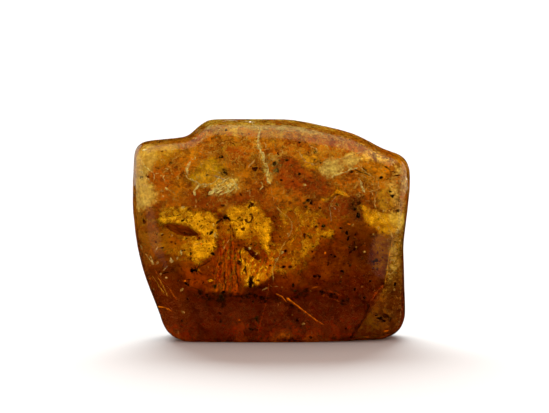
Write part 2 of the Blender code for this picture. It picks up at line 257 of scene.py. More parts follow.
def modify(piece, kind, **settings):
    """Put a modifier on a piece and apply it."""
    take(piece)
    modifier = piece.modifiers.new(kind.title(), kind)
    for key, value in settings.items():
        setattr(modifier, key, value)
    bpy.ops.object.modifier_apply(modifier=modifier.name)


def edit(piece, operator, **settings):
    """Run one edit-mode operator on what is selected in a piece."""
    take(piece)
    bpy.ops.object.mode_set(mode="EDIT")
    operator(**settings)
    bpy.ops.object.mode_set(mode="OBJECT")


def choose(piece, vertices=None, faces=None):
    """Select the vertices or the faces of a piece that pass a test."""
    edit(piece, bpy.ops.mesh.select_all, action="DESELECT")
    parts, test = (piece.data.vertices, vertices) if vertices else (piece.data.polygons, faces)
    parts.foreach_set("select", [test(part) for part in parts])
    bpy.context.tool_settings.mesh_select_mode = (bool(vertices), False, bool(faces))


def settle(piece):
    """Put a piece's place, turn and scale into its mesh."""
    take(piece)
    bpy.ops.object.transform_apply(location=True, rotation=True, scale=True)


def fit(piece, low, high, slack=0.0):
    """Stretch and move a piece to fill a box, less a share of its size as slack."""
    start, end = (Vector(corner) for corner in (piece.bound_box[0], piece.bound_box[6]))
    share = [(high[axis] - low[axis]) / (end[axis] - start[axis]) for axis in range(3)]
    piece.location = [low[axis] - start[axis] * share[axis] for axis in range(3)]
    piece.scale = [value * (1 - slack) for value in share]
    settle(piece)


def new_object(name, data):
    """A new object in the scene, with this mesh, light or camera."""
    made = bpy.data.objects.new(name, data)
    bpy.context.scene.collection.objects.link(made)
    return made


def dress(piece, name, material):
    """Name a piece, give it its finish, and let it ride with the block."""
    piece.name = piece.data.name = name
    piece.data.materials.clear()
    piece.data.materials.append(material)
    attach(piece, EVERY_PIECE_RIDES_ON)


def copy_of(node):
    """A CAD node's mesh as a new object, with its loose triangles merged."""
    piece = new_object(node, frame["nodes"][node].data.copy())
    edit(piece, bpy.ops.mesh.select_all, action="SELECT")
    edit(piece, bpy.ops.mesh.remove_doubles, threshold=MERGE_WITHIN)
    return piece


# What the photo's pixels show


class Sight:
    """Looks through a pixel of the photo into the block, bent at its skin as light is."""

    def __init__(self, block, scene):
        self.ior = scene.amber_block.ior
        self.eye, self.across, self.up, self.ahead, self.half = view_of(scene.amber_look)
        vertices = [vertex.co for vertex in block.data.vertices]
        faces = [tuple(face.vertices) for face in block.data.polygons]
        self.skin = BVHTree.FromPolygons(vertices, faces)

    def ray(self, px, py):
        right = (px - PHOTO_WIDTH / 2) / (PHOTO_WIDTH / 2) * self.half
        rise = (PHOTO_HEIGHT / 2 - py) / (PHOTO_WIDTH / 2) * self.half
        return (self.ahead + self.across * right + self.up * rise).normalized()

    def bent(self, px, py):
        """Where the pixel meets the skin, and the way that its light goes on inside."""
        way = self.ray(px, py)
        where, normal, _, _ = self.skin.ray_cast(self.eye, way)
        if where is None:
            return self.eye + way * ((CAD_BOX[0].y - self.eye.y) / way.y), way
        turn = way.dot(normal)
        along = -turn / self.ior - math.sqrt(max(0.0, 1 - (1 - turn * turn) / self.ior**2))
        return where, (way / self.ior + normal * along).normalized()

    def plane(self, px, py, depth_y):
        """The point on the upright plane at depth_y that the pixel shows."""
        where, way = self.bent(px, py)
        return where + way * ((depth_y - where.y) / way.y)

    def under(self, px, py, depth):
        """The point that the pixel shows at a depth under the skin."""
        where, way = self.bent(px, py)
        return where + way * depth

    def pixel_of(self, point):
        """The pixel that shows a point inside the block: a straight try, then mended twice."""
        gap = point - self.eye
        gap /= gap.dot(self.ahead) * self.half / (PHOTO_WIDTH / 2)
        px, py = PHOTO_WIDTH / 2 + gap.dot(self.across), PHOTO_HEIGHT / 2 - gap.dot(self.up)
        for _ in range(2):
            gap = (point - self.plane(px, py, point.y)) / PIXEL
            px, py = px + gap.x, py - gap.z
        return px, py


def view_of(look):
    """The camera's place, its three directions, and half its width at unit distance."""
    half = look.sensor / 2 / look.lens
    far = PHOTO_WIDTH / 2 * PIXEL / half
    tilt = math.radians(look.tilt)
    ahead = Vector((0.0, math.cos(tilt), -math.sin(tilt)))
    up = Vector((0.0, math.sin(tilt), math.cos(tilt)))
    aim = Vector((
        (PHOTO_WIDTH / 2 - BLOCK_MIDDLE) * PIXEL,
        0.0,
        (BLOCK_FOOT - PHOTO_HEIGHT / 2) * PIXEL / math.cos(tilt),
    ))
    return aim - ahead * far, Vector((1.0, 0.0, 0.0)), up, ahead, half


class LookSettings(PropertyGroup):
    """The camera and the light."""

    tilt: FloatProperty(name="Tilt", description="How far down the camera looks, in degrees", default=3.5)
    lens: FloatProperty(name="Lens", description="Focal length in millimetres", default=150.0, min=1.0)
    sensor: FloatProperty(name="Sensor", description="Sensor width in millimetres", default=36.0, min=1.0)
    backdrop: FloatProperty(name="Backdrop", description="Brightness of the pale room", default=1.14, min=0.0)
    overhead: FloatProperty(name="Overhead", description="Strength of the main light", default=12.5, min=0.0)


class BlockSettings(PropertyGroup):
    """The clear block."""

    voxel: FloatProperty(
        name="Mesh size", description="Edge length of the skin's mesh", default=0.35 * MM, unit="LENGTH"
    )
    smoothing: IntProperty(name="Smoothing", description="Passes that polish the skin", default=30, min=0)
    undulation: FloatProperty(
        name="Undulation",
        description="How deep the hand-polished waves are",
        default=0.12 * MM,
        unit="LENGTH",
    )
    ior: FloatProperty(name="IOR", description="How strongly amber bends light", default=1.54, min=1.0)
    tint: FloatVectorProperty(
        name="Tint",
        description="Tint of the skin",
        subtype="COLOR",
        default=(0.98, 0.87, 0.4),
        min=0,
        max=1,
    )
    depth_colour: FloatVectorProperty(
        name="Depth colour",
        description="Colour that the amber takes with depth",
        subtype="COLOR",
        default=(0.974, 0.82, 0.0),
        min=0,
        max=1,
    )
    density: FloatProperty(
        name="Density", description="How fast it takes that colour", default=290.0, min=0.0
    )


PARTING_TURN = -0.3  # a face that turns further than this from a half's own side is its parting
POLISH_WAVE = 7 * MM  # how far apart the hand-polished waves are
FOOT_BAND = 0.2 * MM  # what lies this low is pressed flat, for the block to stand on
# The polish: how rough it is where it is clean and where it is smudged, how large its smudges
# and its fine marks are in millimetres, how these are turned and drawn out, and how deep they are
SHEEN = (0.02, 0.07)
SMUDGE_SIZE = 4.0
MARK_SIZE = 0.8
MARK_TURN = (0, 0.5, 0)
MARK_STRETCH = (6, 6, 1)
MARK_DEPTH = 0.01 * MM


class AMBER_OT_block(Operator):
    """Join the two solid halves into one clear, polished block"""

    bl_idname = "amber.block"
    bl_label = "Clear block"

    def execute(self, context):
        settings = context.scene.amber_block
        block = self.shell(settings)
        dress(block, "amber", self.finish(settings))
        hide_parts("amber_front", "amber_back")
        return {"FINISHED"}

    def open_half(self, node, side):
        """A copy of one half without its parting face and its pockets."""
        half = copy_of(node)
        choose(half, faces=lambda face: face.normal.y * side < PARTING_TURN)
        edit(half, bpy.ops.mesh.delete, type="FACE")
        outermost = max(half.data.vertices, key=lambda vertex: vertex.co.y * side).index
        choose(half, vertices=lambda vertex: vertex.index == outermost)
        edit(half, bpy.ops.mesh.select_linked)
        edit(half, bpy.ops.mesh.select_all, action="INVERT")
        edit(half, bpy.ops.mesh.delete, type="VERT")
        return half

    def shell(self, settings):
        """The whole skin, closed across the parting, evened out and polished."""
        front = self.open_half("amber_front", -1)
        back = self.open_half("amber_back", 1)
        take(back, front)
        bpy.ops.object.join()
        edit(front, bpy.ops.mesh.select_all, action="DESELECT")
        bpy.context.tool_settings.mesh_select_mode = (False, True, False)
        edit(front, bpy.ops.mesh.select_non_manifold)
        edit(front, bpy.ops.mesh.bridge_edge_loops)
        edit(front, bpy.ops.mesh.select_all, action="SELECT")
        edit(front, bpy.ops.mesh.normals_make_consistent, inside=False)
        modify(front, "REMESH", mode="VOXEL", voxel_size=settings.voxel)
        modify(front, "SMOOTH", factor=0.5, iterations=settings.smoothing)
        swell = bpy.data.textures.new("polish", "CLOUDS")
        swell.noise_scale = POLISH_WAVE
        modify(front, "DISPLACE", texture=swell, strength=settings.undulation, mid_level=1.0)
        choose(front, vertices=lambda vertex: vertex.co.z < FOOT_BAND)
        edit(front, bpy.ops.transform.resize, value=(1, 1, 0), center_override=(0, 0, 0))
        # Polishing draws the skin in a little, so it is let out to the solid's own box
        fit(front, *CAD_BOX, FIT_SLACK)
        take(front)
        bpy.ops.object.shade_smooth()
        return front

    def finish(self, settings):
        finish = Finish("amber")
        place = finish.place()
        smudge = finish.grain(place, SMUDGE_SIZE)
        marks = finish.grain(finish.stretched(place, MARK_TURN, MARK_STRETCH), MARK_SIZE)
        finish.surface(
            Base_Color=tuple(settings.tint),
            Roughness=finish.fade(smudge, 0.35, 0.7, *SHEEN),
            IOR=settings.ior,
            Transmission_Weight=1.0,
            Normal=finish.bump(marks, MARK_DEPTH),
        )
        depth = finish.node(
            "VolumeAbsorption",
            inputs={"Color": tuple(settings.depth_colour), "Density": settings.density},
        )
        finish.feed(finish.output.inputs["Volume"], depth)
        return finish.material


FRONT = -3.0  # the depth in millimetres, along Y, that a region of the front stays ahead of
THROUGH = 60.0
OUTSIDE = -30.0  # how far outside, in pixels, a point behind such a region counts as being

# A region of a layer has the outline that the photo shows, in its pixels. Its edge is soft
# and ragged by so many pixels, and it reaches no deeper than the front or through the block.
Region = namedtuple(
    "Region", "name colour cover mottle soft ragged outline reach", defaults=[FRONT]
)
# A layer is the block's form, drawn in by so many millimetres at its sides, front, back, foot
# and top, and waved. Its grain is the size of its fine mottling and its streak how far that is
# drawn out. The other numbers are how strong its mottling, its change of hue, its specks, its
# creases and the cover of its two ends are. Its heights are over the foot, in millimetres,
# each with the colour and the cover there.
Layer = namedtuple(
    "Layer",
    "name sides front back foot top grain streak mottle hue specks heights regions wave ends creases",
    defaults=[0.0, 0.0, 0.0],
)

WINDOW_LEFT = [(163, 211), (172, 208), (186, 208), (193, 213), (203, 212), (212, 213), (223, 219),
               (217, 228), (217, 238), (216, 247), (213, 254), (209, 258), (203, 261), (199, 265),
               (195, 263), (193, 255), (192, 247), (192, 241), (201, 237), (194, 229), (184, 224),
               (172, 223), (166, 223), (160, 218)]
WINDOW_RIGHT = [(225, 212), (231, 205), (240, 205), (247, 203), (255, 201), (259, 206), (264, 211),
                (267, 214), (270, 220), (271, 228), (271, 236), (270, 244), (271, 250), (273, 258),
                (274, 268), (271, 276), (264, 281), (257, 283), (249, 285), (243, 282), (240, 272),
                (239, 263), (240, 254), (243, 250), (248, 247), (244, 241), (238, 238), (234, 230),
                (230, 222)]
EMBER = [(236, 250), (246, 246), (262, 258), (274, 252), (275, 272), (267, 281), (253, 286), (242, 285),
         (236, 272)]
WINDOW_END = [(389, 212), (398, 210), (403, 213), (404, 222), (402, 232), (395, 229), (388, 222)]
WINDOW_NOOK = [(362, 205), (366, 206), (370, 212), (377, 216), (384, 222), (380, 226), (372, 223),
               (366, 219), (363, 213)]
WINDOW_CRACK = [(335, 184), (339, 185), (340, 190), (346, 193), (350, 197), (345, 197), (338, 194),
                (333, 198), (329, 201), (322, 201), (319, 198), (326, 198), (332, 195), (337, 190)]
DARK_PATCH = [(277, 160), (288, 156), (298, 159), (304, 167), (317, 175), (329, 179), (334, 184),
              (333, 194), (324, 198), (312, 194), (300, 190), (288, 192), (279, 186), (275, 172)]


def windows(cover, mottle):
    """Clear windows: in the photo the light of the room behind shines through them."""
    return [
        Region("window_left", None, cover, mottle, 4.0, 5.0, WINDOW_LEFT, THROUGH),
        Region("window_right", None, cover, mottle, 4.0, 5.0, WINDOW_RIGHT, THROUGH),
        Region("window_end", None, cover, mottle, 2.5, 5.0, WINDOW_END, THROUGH),
        Region("window_nook", None, cover, mottle, 1.5, 5.0, WINDOW_NOOK, THROUGH),
        Region("window_crack", None, cover, mottle, 1.0, 4.0, WINDOW_CRACK, THROUGH),
    ]


HAZE_HEIGHTS = [
    (0.0, (238, 130, 12), 0.6),
    (1.5, (140, 42, 3), 0.2),
    (7.0, (120, 36, 2), 0.05),
    (12.0, (160, 80, 10), 0.0),
    (20.0, (190, 110, 25), 0.0),
    (27.0, (240, 180, 50), 0.06),
    (33.0, (245, 200, 80), 0.16),
    (35.6, (250, 244, 148), 0.56),
]
HAZE_REGIONS = [
    # Painted reflection: a pale band along the top bevel, where the light overhead is mirrored
    Region("top_band", (242, 242, 218), 0.54, 0.35, 2.0, 3.0, [
        (204, 128), (212, 122), (245, 120), (290, 122), (326, 129), (346, 136), (343, 139), (328, 136),
        (300, 131.5), (270, 129), (240, 127.5), (216, 128), (208, 131)]),
    Region("corner_haze", (255, 218, 105), 0.55, 0.5, 4.0, 6.0, [
        (139, 146), (150, 141), (168, 141), (178, 146), (170, 156), (150, 161), (140, 158)]),
    # Painted highlight: a pale veil along the left edge, where the light at the left is mirrored
    Region("left_edge_haze", (255, 230, 160), 0.77, 0.4, 4.0, 8.0, [
        (130, 150), (142, 144), (152, 148), (157, 160), (151, 173), (146, 176), (152, 184), (158, 196),
        (152, 205), (142, 210), (130, 212)]),
    Region("olive_cloud", (240, 190, 35), 0.5, 0.8, 5.0, 10.0, [
        (188, 178), (194, 172), (205, 162), (212, 158), (218, 161), (221, 166), (217, 174), (228, 178),
        (238, 182), (236, 192), (226, 190), (206, 184), (199, 187), (193, 186)]),
    Region("crumbly_veil", (250, 225, 150), 0.38, 1.2, 2.5, 9.0, [
        (208, 196), (217, 183), (224, 178), (233, 176), (238, 182), (238, 190), (231, 195),
        (221, 194)]),
    Region("crumbly_crack", (250, 220, 140), 0.42, 1.3, 2.0, 5.0, [
        (255, 140), (259, 140), (264, 152), (268, 164), (272, 182), (268, 184), (263, 170),
        (258, 154)]),
    Region("crumbly_spot", (215, 210, 160), 0.55, 1.2, 3.0, 8.0, [
        (266, 156), (277, 156), (282, 168), (276, 176), (268, 176), (263, 166)]),
    Region("right_cloud", (245, 190, 25), 0.5, 0.9, 4.0, 9.0, [
        (294, 147), (303, 151), (311, 155), (320, 160), (320, 167), (313, 171), (304, 167),
        (298, 160)]),
    Region("gold_patch", (252, 236, 182), 0.67, 0.6, 2.6, 7.0, [
        (321, 162), (330, 158), (340, 157), (349, 153), (357, 154), (361, 158), (359, 164), (353, 168),
        (347, 170), (341, 173), (332, 175), (328, 179), (322, 176), (320, 170)]),
    Region("right_shoulder", (255, 215, 130), 0.45, 1.2, 4.0, 10.0, [
        (358, 142), (374, 146), (390, 150), (404, 158), (398, 164), (380, 162), (366, 158)]),
    Region("right_end_haze", (238, 205, 140), 0.58, 0.8, 3.0, 8.0, [
        (394, 160), (404, 160), (412, 172), (412, 206), (402, 212), (394, 206), (386, 196), (386, 184),
        (394, 176)]),
    Region("end_olive", (240, 190, 60), 0.34, 0.7, 2.5, 6.0, [
        (377, 190), (389, 186), (392, 196), (394, 207), (385, 214), (379, 207)]),
    Region("crumbly_edge", (228, 190, 105), 0.22, 1.0, 2.5, 5.0, [
        (393, 232), (402, 226), (403, 246), (398, 266), (390, 284), (386, 270), (390, 248)]),
    # Painted reflection: a greyish strip down the right edge, where the room is mirrored
    Region("edge_bloom", (150, 130, 130), 0.5, 0.6, 1.5, 2.0, [
        (400, 262), (405, 258), (405, 328), (400, 331), (399, 300)]),
    Region("smooth_skin", None, 0.03, 0.9, 6.0, 9.0, DARK_PATCH),
    # Painted glow: a pale veil that brightens the window at the right end, for the light shining through it
    Region("end_glow", (255, 228, 135), 0.62, 0.6, 3.0, 6.0, WINDOW_END),
]
CLOUD_HEIGHTS = [
    (0.0, (238, 114, 6), 0.86),
    (1.5, (178, 56, 3), 0.55),
    (5.0, (150, 46, 3), 0.3),
    (9.0, (150, 50, 3), 0.1),
    (20.0, (190, 100, 6), 0.08),
    (21.8, (205, 108, 3), 0.5),
    (24.0, (212, 120, 3), 0.75),
    (29.0, (218, 132, 4), 0.85),
    (31.5, (212, 122, 3), 0.85),
    (35.6, (232, 168, 12), 0.9),
]
CLOUD_REGIONS = [
    Region("band_over_windows", (203, 104, 3), 0.8, 0.4, 3.0, 8.0, [
        (165, 196), (185, 198), (202, 190), (216, 197), (236, 197), (250, 190), (262, 194), (274, 204),
        (272, 214), (262, 207), (256, 200), (247, 201), (236, 203), (226, 206), (214, 209), (204, 209),
        (192, 209), (184, 206), (168, 206)]),
    Region("olive_patch", (236, 188, 8), 0.8, 0.6, 5.0, 10.0, [
        (188, 178), (200, 166), (212, 157), (222, 162), (224, 172), (238, 180), (234, 192), (210, 186),
        (196, 188)]),
    Region("orange_shadow", (222, 124, 4), 0.85, 0.5, 4.0, 9.0, [
        (150, 172), (160, 174), (170, 180), (174, 196), (164, 200), (154, 190)]),
    Region("left_corner", (252, 204, 20), 0.92, 0.4, 5.0, 8.0, [
        (138, 146), (160, 138), (182, 138), (176, 158), (160, 166), (144, 168)]),
    Region("red_spot", (200, 88, 3), 0.85, 0.5, 4.0, 9.0, [
        (226, 146), (238, 146), (244, 154), (240, 166), (230, 164), (224, 156)]),
    Region("top_right_band", (222, 118, 3), 0.85, 0.5, 3.0, 7.0, [
        (308, 140), (321, 138), (334, 140), (348, 145), (352, 151), (339, 155), (324, 152),
        (313, 148)]),
    Region("dark_patch", (176, 66, 3), 0.86, 0.95, 7.0, 10.0, DARK_PATCH),
    Region("red_blob", (180, 64, 3), 0.8, 0.4, 2.5, 7.0, [
        (322, 203), (329, 201), (338, 198), (349, 198), (351, 206), (348, 215), (339, 220), (330, 214),
        (324, 210)]),
    Region("dark_cluster", (120, 46, 3), 0.85, 0.6, 2.5, 8.0, [
        (349, 196), (357, 193), (363, 201), (365, 213), (361, 222), (353, 221), (349, 213)]),
    Region("right_flank", (160, 98, 22), 0.5, 0.8, 3.0, 5.0, [
        (388, 236), (412, 232), (411, 334), (380, 342), (352, 342), (362, 324), (374, 304), (385, 286),
        (388, 262)]),
    Region("left_flank", (175, 98, 14), 0.6, 0.3, 4.0, 8.0, [
        (128, 212), (142, 212), (156, 208), (158, 222), (158, 236), (154, 262), (146, 270),
        (128, 262)]),
    Region("clear_middle", None, 0.02, 0.5, 2.5, 5.0, [
        (158, 212), (170, 207), (186, 207), (201, 209), (212, 209), (224, 207), (237, 204), (256, 201),
        (270, 212), (285, 208), (310, 208), (322, 216), (345, 224), (372, 230), (376, 262), (345, 300),
        (180, 300), (160, 270)]),
    *windows(0.0, 0.5),
]
# Low down the core is dark brown and closed: painted shade at the foot, where no light comes through from
# behind
CORE_HEIGHTS = [
    (0.0, (142, 64, 3), 1.0),
    (4.0, (118, 44, 3), 1.0),
    (7.0, (112, 40, 3), 1.0),
    (9.0, (128, 58, 3), 0.99),
    (11.5, (150, 85, 3), 0.95),
    (16.0, (172, 104, 3), 0.9),
    (22.0, (195, 115, 3), 0.85),
    (27.0, (200, 115, 5), 0.8),
    (35.6, (200, 120, 8), 0.75),
]
CORE_REGIONS = [
    Region("facet_left", (158, 82, 4), 0.97, 0.5, 5.0, 8.0, [
        (130, 256), (150, 258), (166, 262), (182, 284), (188, 310), (184, 345), (130, 345)], THROUGH),
    Region("flank_right", (140, 75, 8), 0.96, 0.7, 5.0, 8.0, [
        (390, 236), (412, 236), (410, 330), (380, 332), (378, 300), (386, 270)], THROUGH),
    Region("low_left", (205, 125, 3), 0.93, 0.8, 5.0, 8.0, [
        (178, 256), (194, 262), (206, 262), (220, 248), (240, 262), (246, 286), (240, 292), (206, 291),
        (190, 284)], THROUGH),
    Region("mid_left", (216, 146, 6), 0.56, 0.7, 4.0, 8.0, [
        (152, 226), (168, 228), (182, 230), (196, 234), (192, 244), (194, 258), (182, 260), (170, 256),
        (156, 246)], THROUGH),
    Region("mid_low", (175, 105, 3), 0.95, 0.8, 6.0, 9.0, [
        (276, 266), (302, 262), (324, 248), (344, 240), (346, 262), (322, 282), (296, 288),
        (276, 284)], THROUGH),
    Region("over_gnat", (220, 132, 3), 0.55, 0.7, 3.0, 6.0, [
        (214, 200), (232, 198), (232, 208), (226, 214), (216, 214)], THROUGH),
    Region("mid_right", (214, 142, 3), 0.57, 0.9, 7.0, 10.0, [
        (279, 208), (287, 204), (300, 204), (320, 208), (346, 218), (340, 230), (314, 248), (304, 266),
        (292, 273), (272, 274), (274, 244)], THROUGH),
    Region("dark_right", (146, 92, 4), 0.97, 0.8, 5.0, 8.0, [
        (344, 224), (356, 224), (366, 230), (382, 236), (388, 248), (384, 266), (360, 268), (344, 264),
        (346, 244)], THROUGH),
    Region("beside_strip", (224, 182, 16), 0.97, 0.7, 2.5, 4.0, [
        (378, 232), (389, 236), (387, 252), (384, 268), (374, 268), (374, 246)], THROUGH),
    Region("nook", (230, 165, 25), 0.31, 0.9, 4.0, 7.0, [
        (359, 204), (366, 206), (374, 211), (384, 213), (396, 210), (403, 214), (402, 228), (394, 238),
        (382, 235), (370, 226), (361, 216)], THROUGH),
    *windows(0.25, 1.0),
    Region("over_leaf", None, 0.4, 1.0, 3.0, 5.0, [
        (163, 208), (202, 208), (203, 218), (190, 222), (163, 219)], THROUGH),
    Region("ember", (232, 134, 2), 0.33, 1.1, 3.0, 6.0, EMBER, THROUGH),
    Region("column_head", (242, 160, 3), 0.62, 0.8, 2.5, 4.0, [
        (224, 219), (230, 221), (234, 234), (235, 244), (220, 246), (221, 238), (219, 230),
        (220, 223)], THROUGH),
    Region("red_column", (234, 142, 4), 0.82, 1.2, 3.5, 5.0, [
        (222, 240), (234, 239), (237, 250), (238, 270), (242, 284), (244, 292), (214, 292), (213, 272),
        (216, 260), (220, 250)], THROUGH),
    Region("stalk_shade", (198, 112, 3), 0.66, 0.8, 4.0, 7.0, [
        (238, 236), (248, 233), (257, 237), (262, 246), (252, 250), (244, 246)], THROUGH),
    Region("beetle_shade", (200, 106, 3), 0.82, 0.8, 3.0, 6.0, [
        (258, 246), (267, 250), (268, 262), (262, 266), (259, 258)], THROUGH),
]
LAYERS = [
    Layer("skin_haze", sides=0.5, front=0.7, back=0.7, foot=0.35, top=0.6, grain=0.45, streak=0.8,
          mottle=0.9, hue=0.3, specks=0.3, heights=HAZE_HEIGHTS, regions=HAZE_REGIONS, creases=0.8),
    Layer("golden_cloud", sides=1.2, front=2.2, back=2.2, foot=0.4, top=2.0, grain=0.45, streak=0.8,
          mottle=0.85, hue=0.9, specks=0.7, heights=CLOUD_HEIGHTS, regions=CLOUD_REGIONS, ends=0.8,
          creases=0.8),
    Layer("brown_core", sides=0.6, front=10.2, back=4.4, foot=0.35, top=2.6, grain=0.5, streak=0.9,
          mottle=1.1, hue=1.0, specks=0.9, heights=CORE_HEIGHTS, regions=CORE_REGIONS, wave=0.9),
]
WAVE_ACROSS, WAVE_UP = 9.0, 11.0  # the old flow surface's wave, in millimetres to a radian
WAVE_START = (0.6, -0.9)
LAYER_MESH = 0.55 * MM
LAYER_SMOOTHING = 4

# The layers' clouds: their size in millimetres, their detail and their roughness
RAGGED = (1.0, 5.0, 0.65)
FINE = (3.0, 0.65)  # in the layer's own size
BROAD = (3.5, 5.0, 0.62)
MIDDLING = (1.3, 3.0)
STREAKS = (0.5, 3.0)
HUE_CLOUDS = (5.0, 3.0)
DASH_CLOUDS = (2.2, 2.0)
# How the mottling is made up of them, with and without streaks, and where it is dark and light
FINE_SHARE, MIDDLING_SHARE, BROAD_SHARE = 0.33, 0.35, 0.32
STREAK_SHARE, FINE_IN_STREAKS = 0.65, 0.35
MOTTLE_RANGE = (0.38, 0.62, -0.5, 0.5)
HUE_RANGE = (0.35, 0.65)
# How places go astray: the size of the clouds that lead them, and how far, in millimetres
BAND_DRIFT = (2.6, 5.0)
WEAR = (0.8, 1.0)
STREAK_DRIFT = (1.6, 1.0)
STREAK_TURN, STREAK_STRETCH = (0, 0.15, 0), (1, 1, 3)
STREAKED = ("red_column", "ember")  # regions whose mottling is drawn out upright
SMOOTH = ("dark_patch", "smooth_skin", "red_blob")  # regions with few creases
STREAKED_EDGE, SMOOTH_EDGE = (-1.5, 1.5), (-3.0, 3.0)
UNCREASED = 0.65  # the share of the creases that such regions are without
END_TURN = (0.78, 0.95)  # how far sideways the skin turns where an end begins and is closed
END_FRAYED = 0.4
DARKER = (0.4, 0.25, 0.1)
LIGHTER = ((1.5, 0.0), (1.55, 0.5), (1.6, 0.2))  # for each part of a colour, and more by hue
RUDDY, HONEY = (0.95, 0.74, 0.6), (1.06, 1.34, 1.5)  # what a layer's hue wanders between
# The size of the creases' folds, their colour and width, and the size of the patches they keep
# to. They grow stronger between two heights over the foot, in millimetres, from a small share.
CREASES = [
    (1.7, (252, 228, 150), 0.026, 3.0),
    (0.9, (245, 200, 95), 0.028, 1.6),
]
CREASE_RISE = (17.0, 25.0, 0.15, 1.0)
CREASE_PATCHES = (0.46, 0.6)
# Dashes and specks: how far apart they are in millimetres, and how their cover fades outward
DASH_COLOUR, DASH_SIZE, DASH_RIM = (125, 58, 2), 0.6, (0.16, 0.34, 0.6, 0.0)
DASH_TURN, DASH_STRETCH, DASH_PATCHES = (0, math.radians(30), 0), (2.2, 1, 1), (0.45, 0.6)
SPECK_COLOUR, SPECK_SIZE, SPECK_RIM = (45, 16, 3), 1.1, (0.11, 0.17, 1.0, 0.0)
SPECK_PATCHES = (0.45, 0.55)
LAYER_ROUGHNESS, LAYER_IOR = 0.6, 1.45


class LayerFinish(Finish):
    """The finish of one cloudy layer: its colour and its cover, built up step by step."""

    def __init__(self, layer):
        super().__init__(layer.name)
        self.layer = layer
        self.here = self.place()
        drifted = self.astray(self.here, *BAND_DRIFT)
        self.height = self.node("SeparateXYZ", inputs={0: drifted}, output="Z")
        self.broad = self.grain(self.here, *BROAD)
        self.ragged = self.grain(self.here, *RAGGED) - 0.5
        self.worn = self.astray(self.stretched(self.here, scale=(1, 1, layer.streak)), *WEAR)
        self.bands()
        self.regions()
        self.ends()
        self.mottle()
        self.wander()
        self.creases()
        self.specks()
        self.surface(
            Base_Color=self.colour, Roughness=LAYER_ROUGHNESS, Alpha=self.cover, IOR=LAYER_IOR
        )

    def attribute(self, name):
        return self.node("Attribute", {"attribute_name": name}, output="Fac")

    def tinted(self, factors):
        return self.vector("MULTIPLY", self.colour, tuple(factors))

    def mark(self, share, colour):
        """Marks of one colour, which also close the layer where they are."""
        self.colour = self.mix(share, self.colour, tone(*colour))
        self.cover = self.math("MAXIMUM", self.cover, share)

    def bands(self):
        """Colours and covers that change with the height over the foot."""
        top = self.layer.heights[-1][0]
        stops = [(z / top, (*tone(*colour), cover)) for z, colour, cover in self.layer.heights]
        self.colour = self.node("ValToRGB", {"stops": stops}, {0: self.height / top})
        self.cover = Value(self, self.colour.socket.node.outputs["Alpha"])

    def regions(self):
        """What the photo shows inside each outline, with a soft and ragged edge."""
        self.strength = self.layer.mottle
        self.streaked = self.smooth = 0.0
        for region in self.layer.regions:
            inside = self.attribute(region.name) + self.ragged * (region.ragged * 2)
            edge = (-region.soft, region.soft)
            if region.colour:
                share = self.fade(inside, *edge)
                self.colour = self.mix(share, self.colour, tone(*region.colour))
            self.cover = self.fade(inside, *edge, self.cover, region.cover)
            self.strength = self.fade(inside, *edge, self.strength, region.mottle)
            if region.name in STREAKED:
                share = self.fade(inside, *STREAKED_EDGE)
                self.streaked = self.math("MAXIMUM", self.streaked, share)
            if region.name in SMOOTH:
                share = self.fade(inside, *SMOOTH_EDGE)
                self.smooth = self.math("MAXIMUM", self.smooth, share)

    def ends(self):
        """A cover over the block's two narrow ends."""
        if self.layer.ends:
            sideways = self.attribute("sideways") + self.ragged * END_FRAYED
            share = self.fade(sideways, *END_TURN) * self.layer.ends
            self.cover = self.math("MAXIMUM", self.cover, share)

    def mottle(self):
        """Fine, middling and broad clouds, dark where they thin out and light where they close."""
        fine = self.grain(self.worn, self.layer.grain, *FINE)
        lift = fine * FINE_SHARE + self.grain(self.worn, *MIDDLING) * MIDDLING_SHARE
        lift = lift + self.broad * BROAD_SHARE
        if self.streaked:
            drawn = self.astray(self.here, *STREAK_DRIFT)
            drawn = self.stretched(drawn, STREAK_TURN, STREAK_STRETCH)
            streaks = self.grain(drawn, *STREAKS) * STREAK_SHARE + fine * FINE_IN_STREAKS
            lift = lift + (streaks - lift) * self.streaked
        wave = self.fade(lift, *MOTTLE_RANGE) * self.strength
        self.cover = self.cover + wave * self.cover * (1 - self.cover) * 4
        light = self.tinted(part + more * self.layer.hue for part, more in LIGHTER)
        self.colour = self.mix(wave + 0.5, self.tinted(DARKER), light)

    def wander(self):
        """A hue that wanders from ruddy to honey."""
        share = self.fade(self.grain(self.here, *HUE_CLOUDS), *HUE_RANGE)
        ruddy, honey = (
            self.tinted(1 + (part - 1) * self.layer.hue for part in tint) for tint in (RUDDY, HONEY)
        )
        self.colour = self.mix(share, ruddy, honey)

    def creases(self):
        """Fine bright folds, in patches, more of them high up and few in the smooth regions."""
        if self.layer.creases:
            upward = self.fade(self.height, *CREASE_RISE)
            for size, colour, width, patch in CREASES:
                folds = self.grain(self.astray(self.here, size, size), size, 2.0)
                share = self.fade(self.math("ABSOLUTE", folds - 0.5), 0.0, width, 1.0, 0.0)
                share = share * self.fade(self.grain(self.here, patch, 3.0), *CREASE_PATCHES)
                share = share * upward * self.layer.creases * (1 - self.smooth * UNCREASED)
                self.mark(share, colour)

    def specks(self):
        """Brown dashes and dark specks too small for the flecks."""
        drawn = self.stretched(self.worn, DASH_TURN, DASH_STRETCH)
        dash = self.fade(self.cells(drawn, DASH_SIZE), *DASH_RIM)
        dash = dash * self.fade(self.grain(self.here, *DASH_CLOUDS), *DASH_PATCHES)
        self.mark(dash * self.layer.specks, DASH_COLOUR)
        speck = self.fade(self.cells(self.worn, SPECK_SIZE), *SPECK_RIM)
        speck = speck * self.fade(self.broad, *SPECK_PATCHES)
        self.mark(speck * self.layer.specks, SPECK_COLOUR)


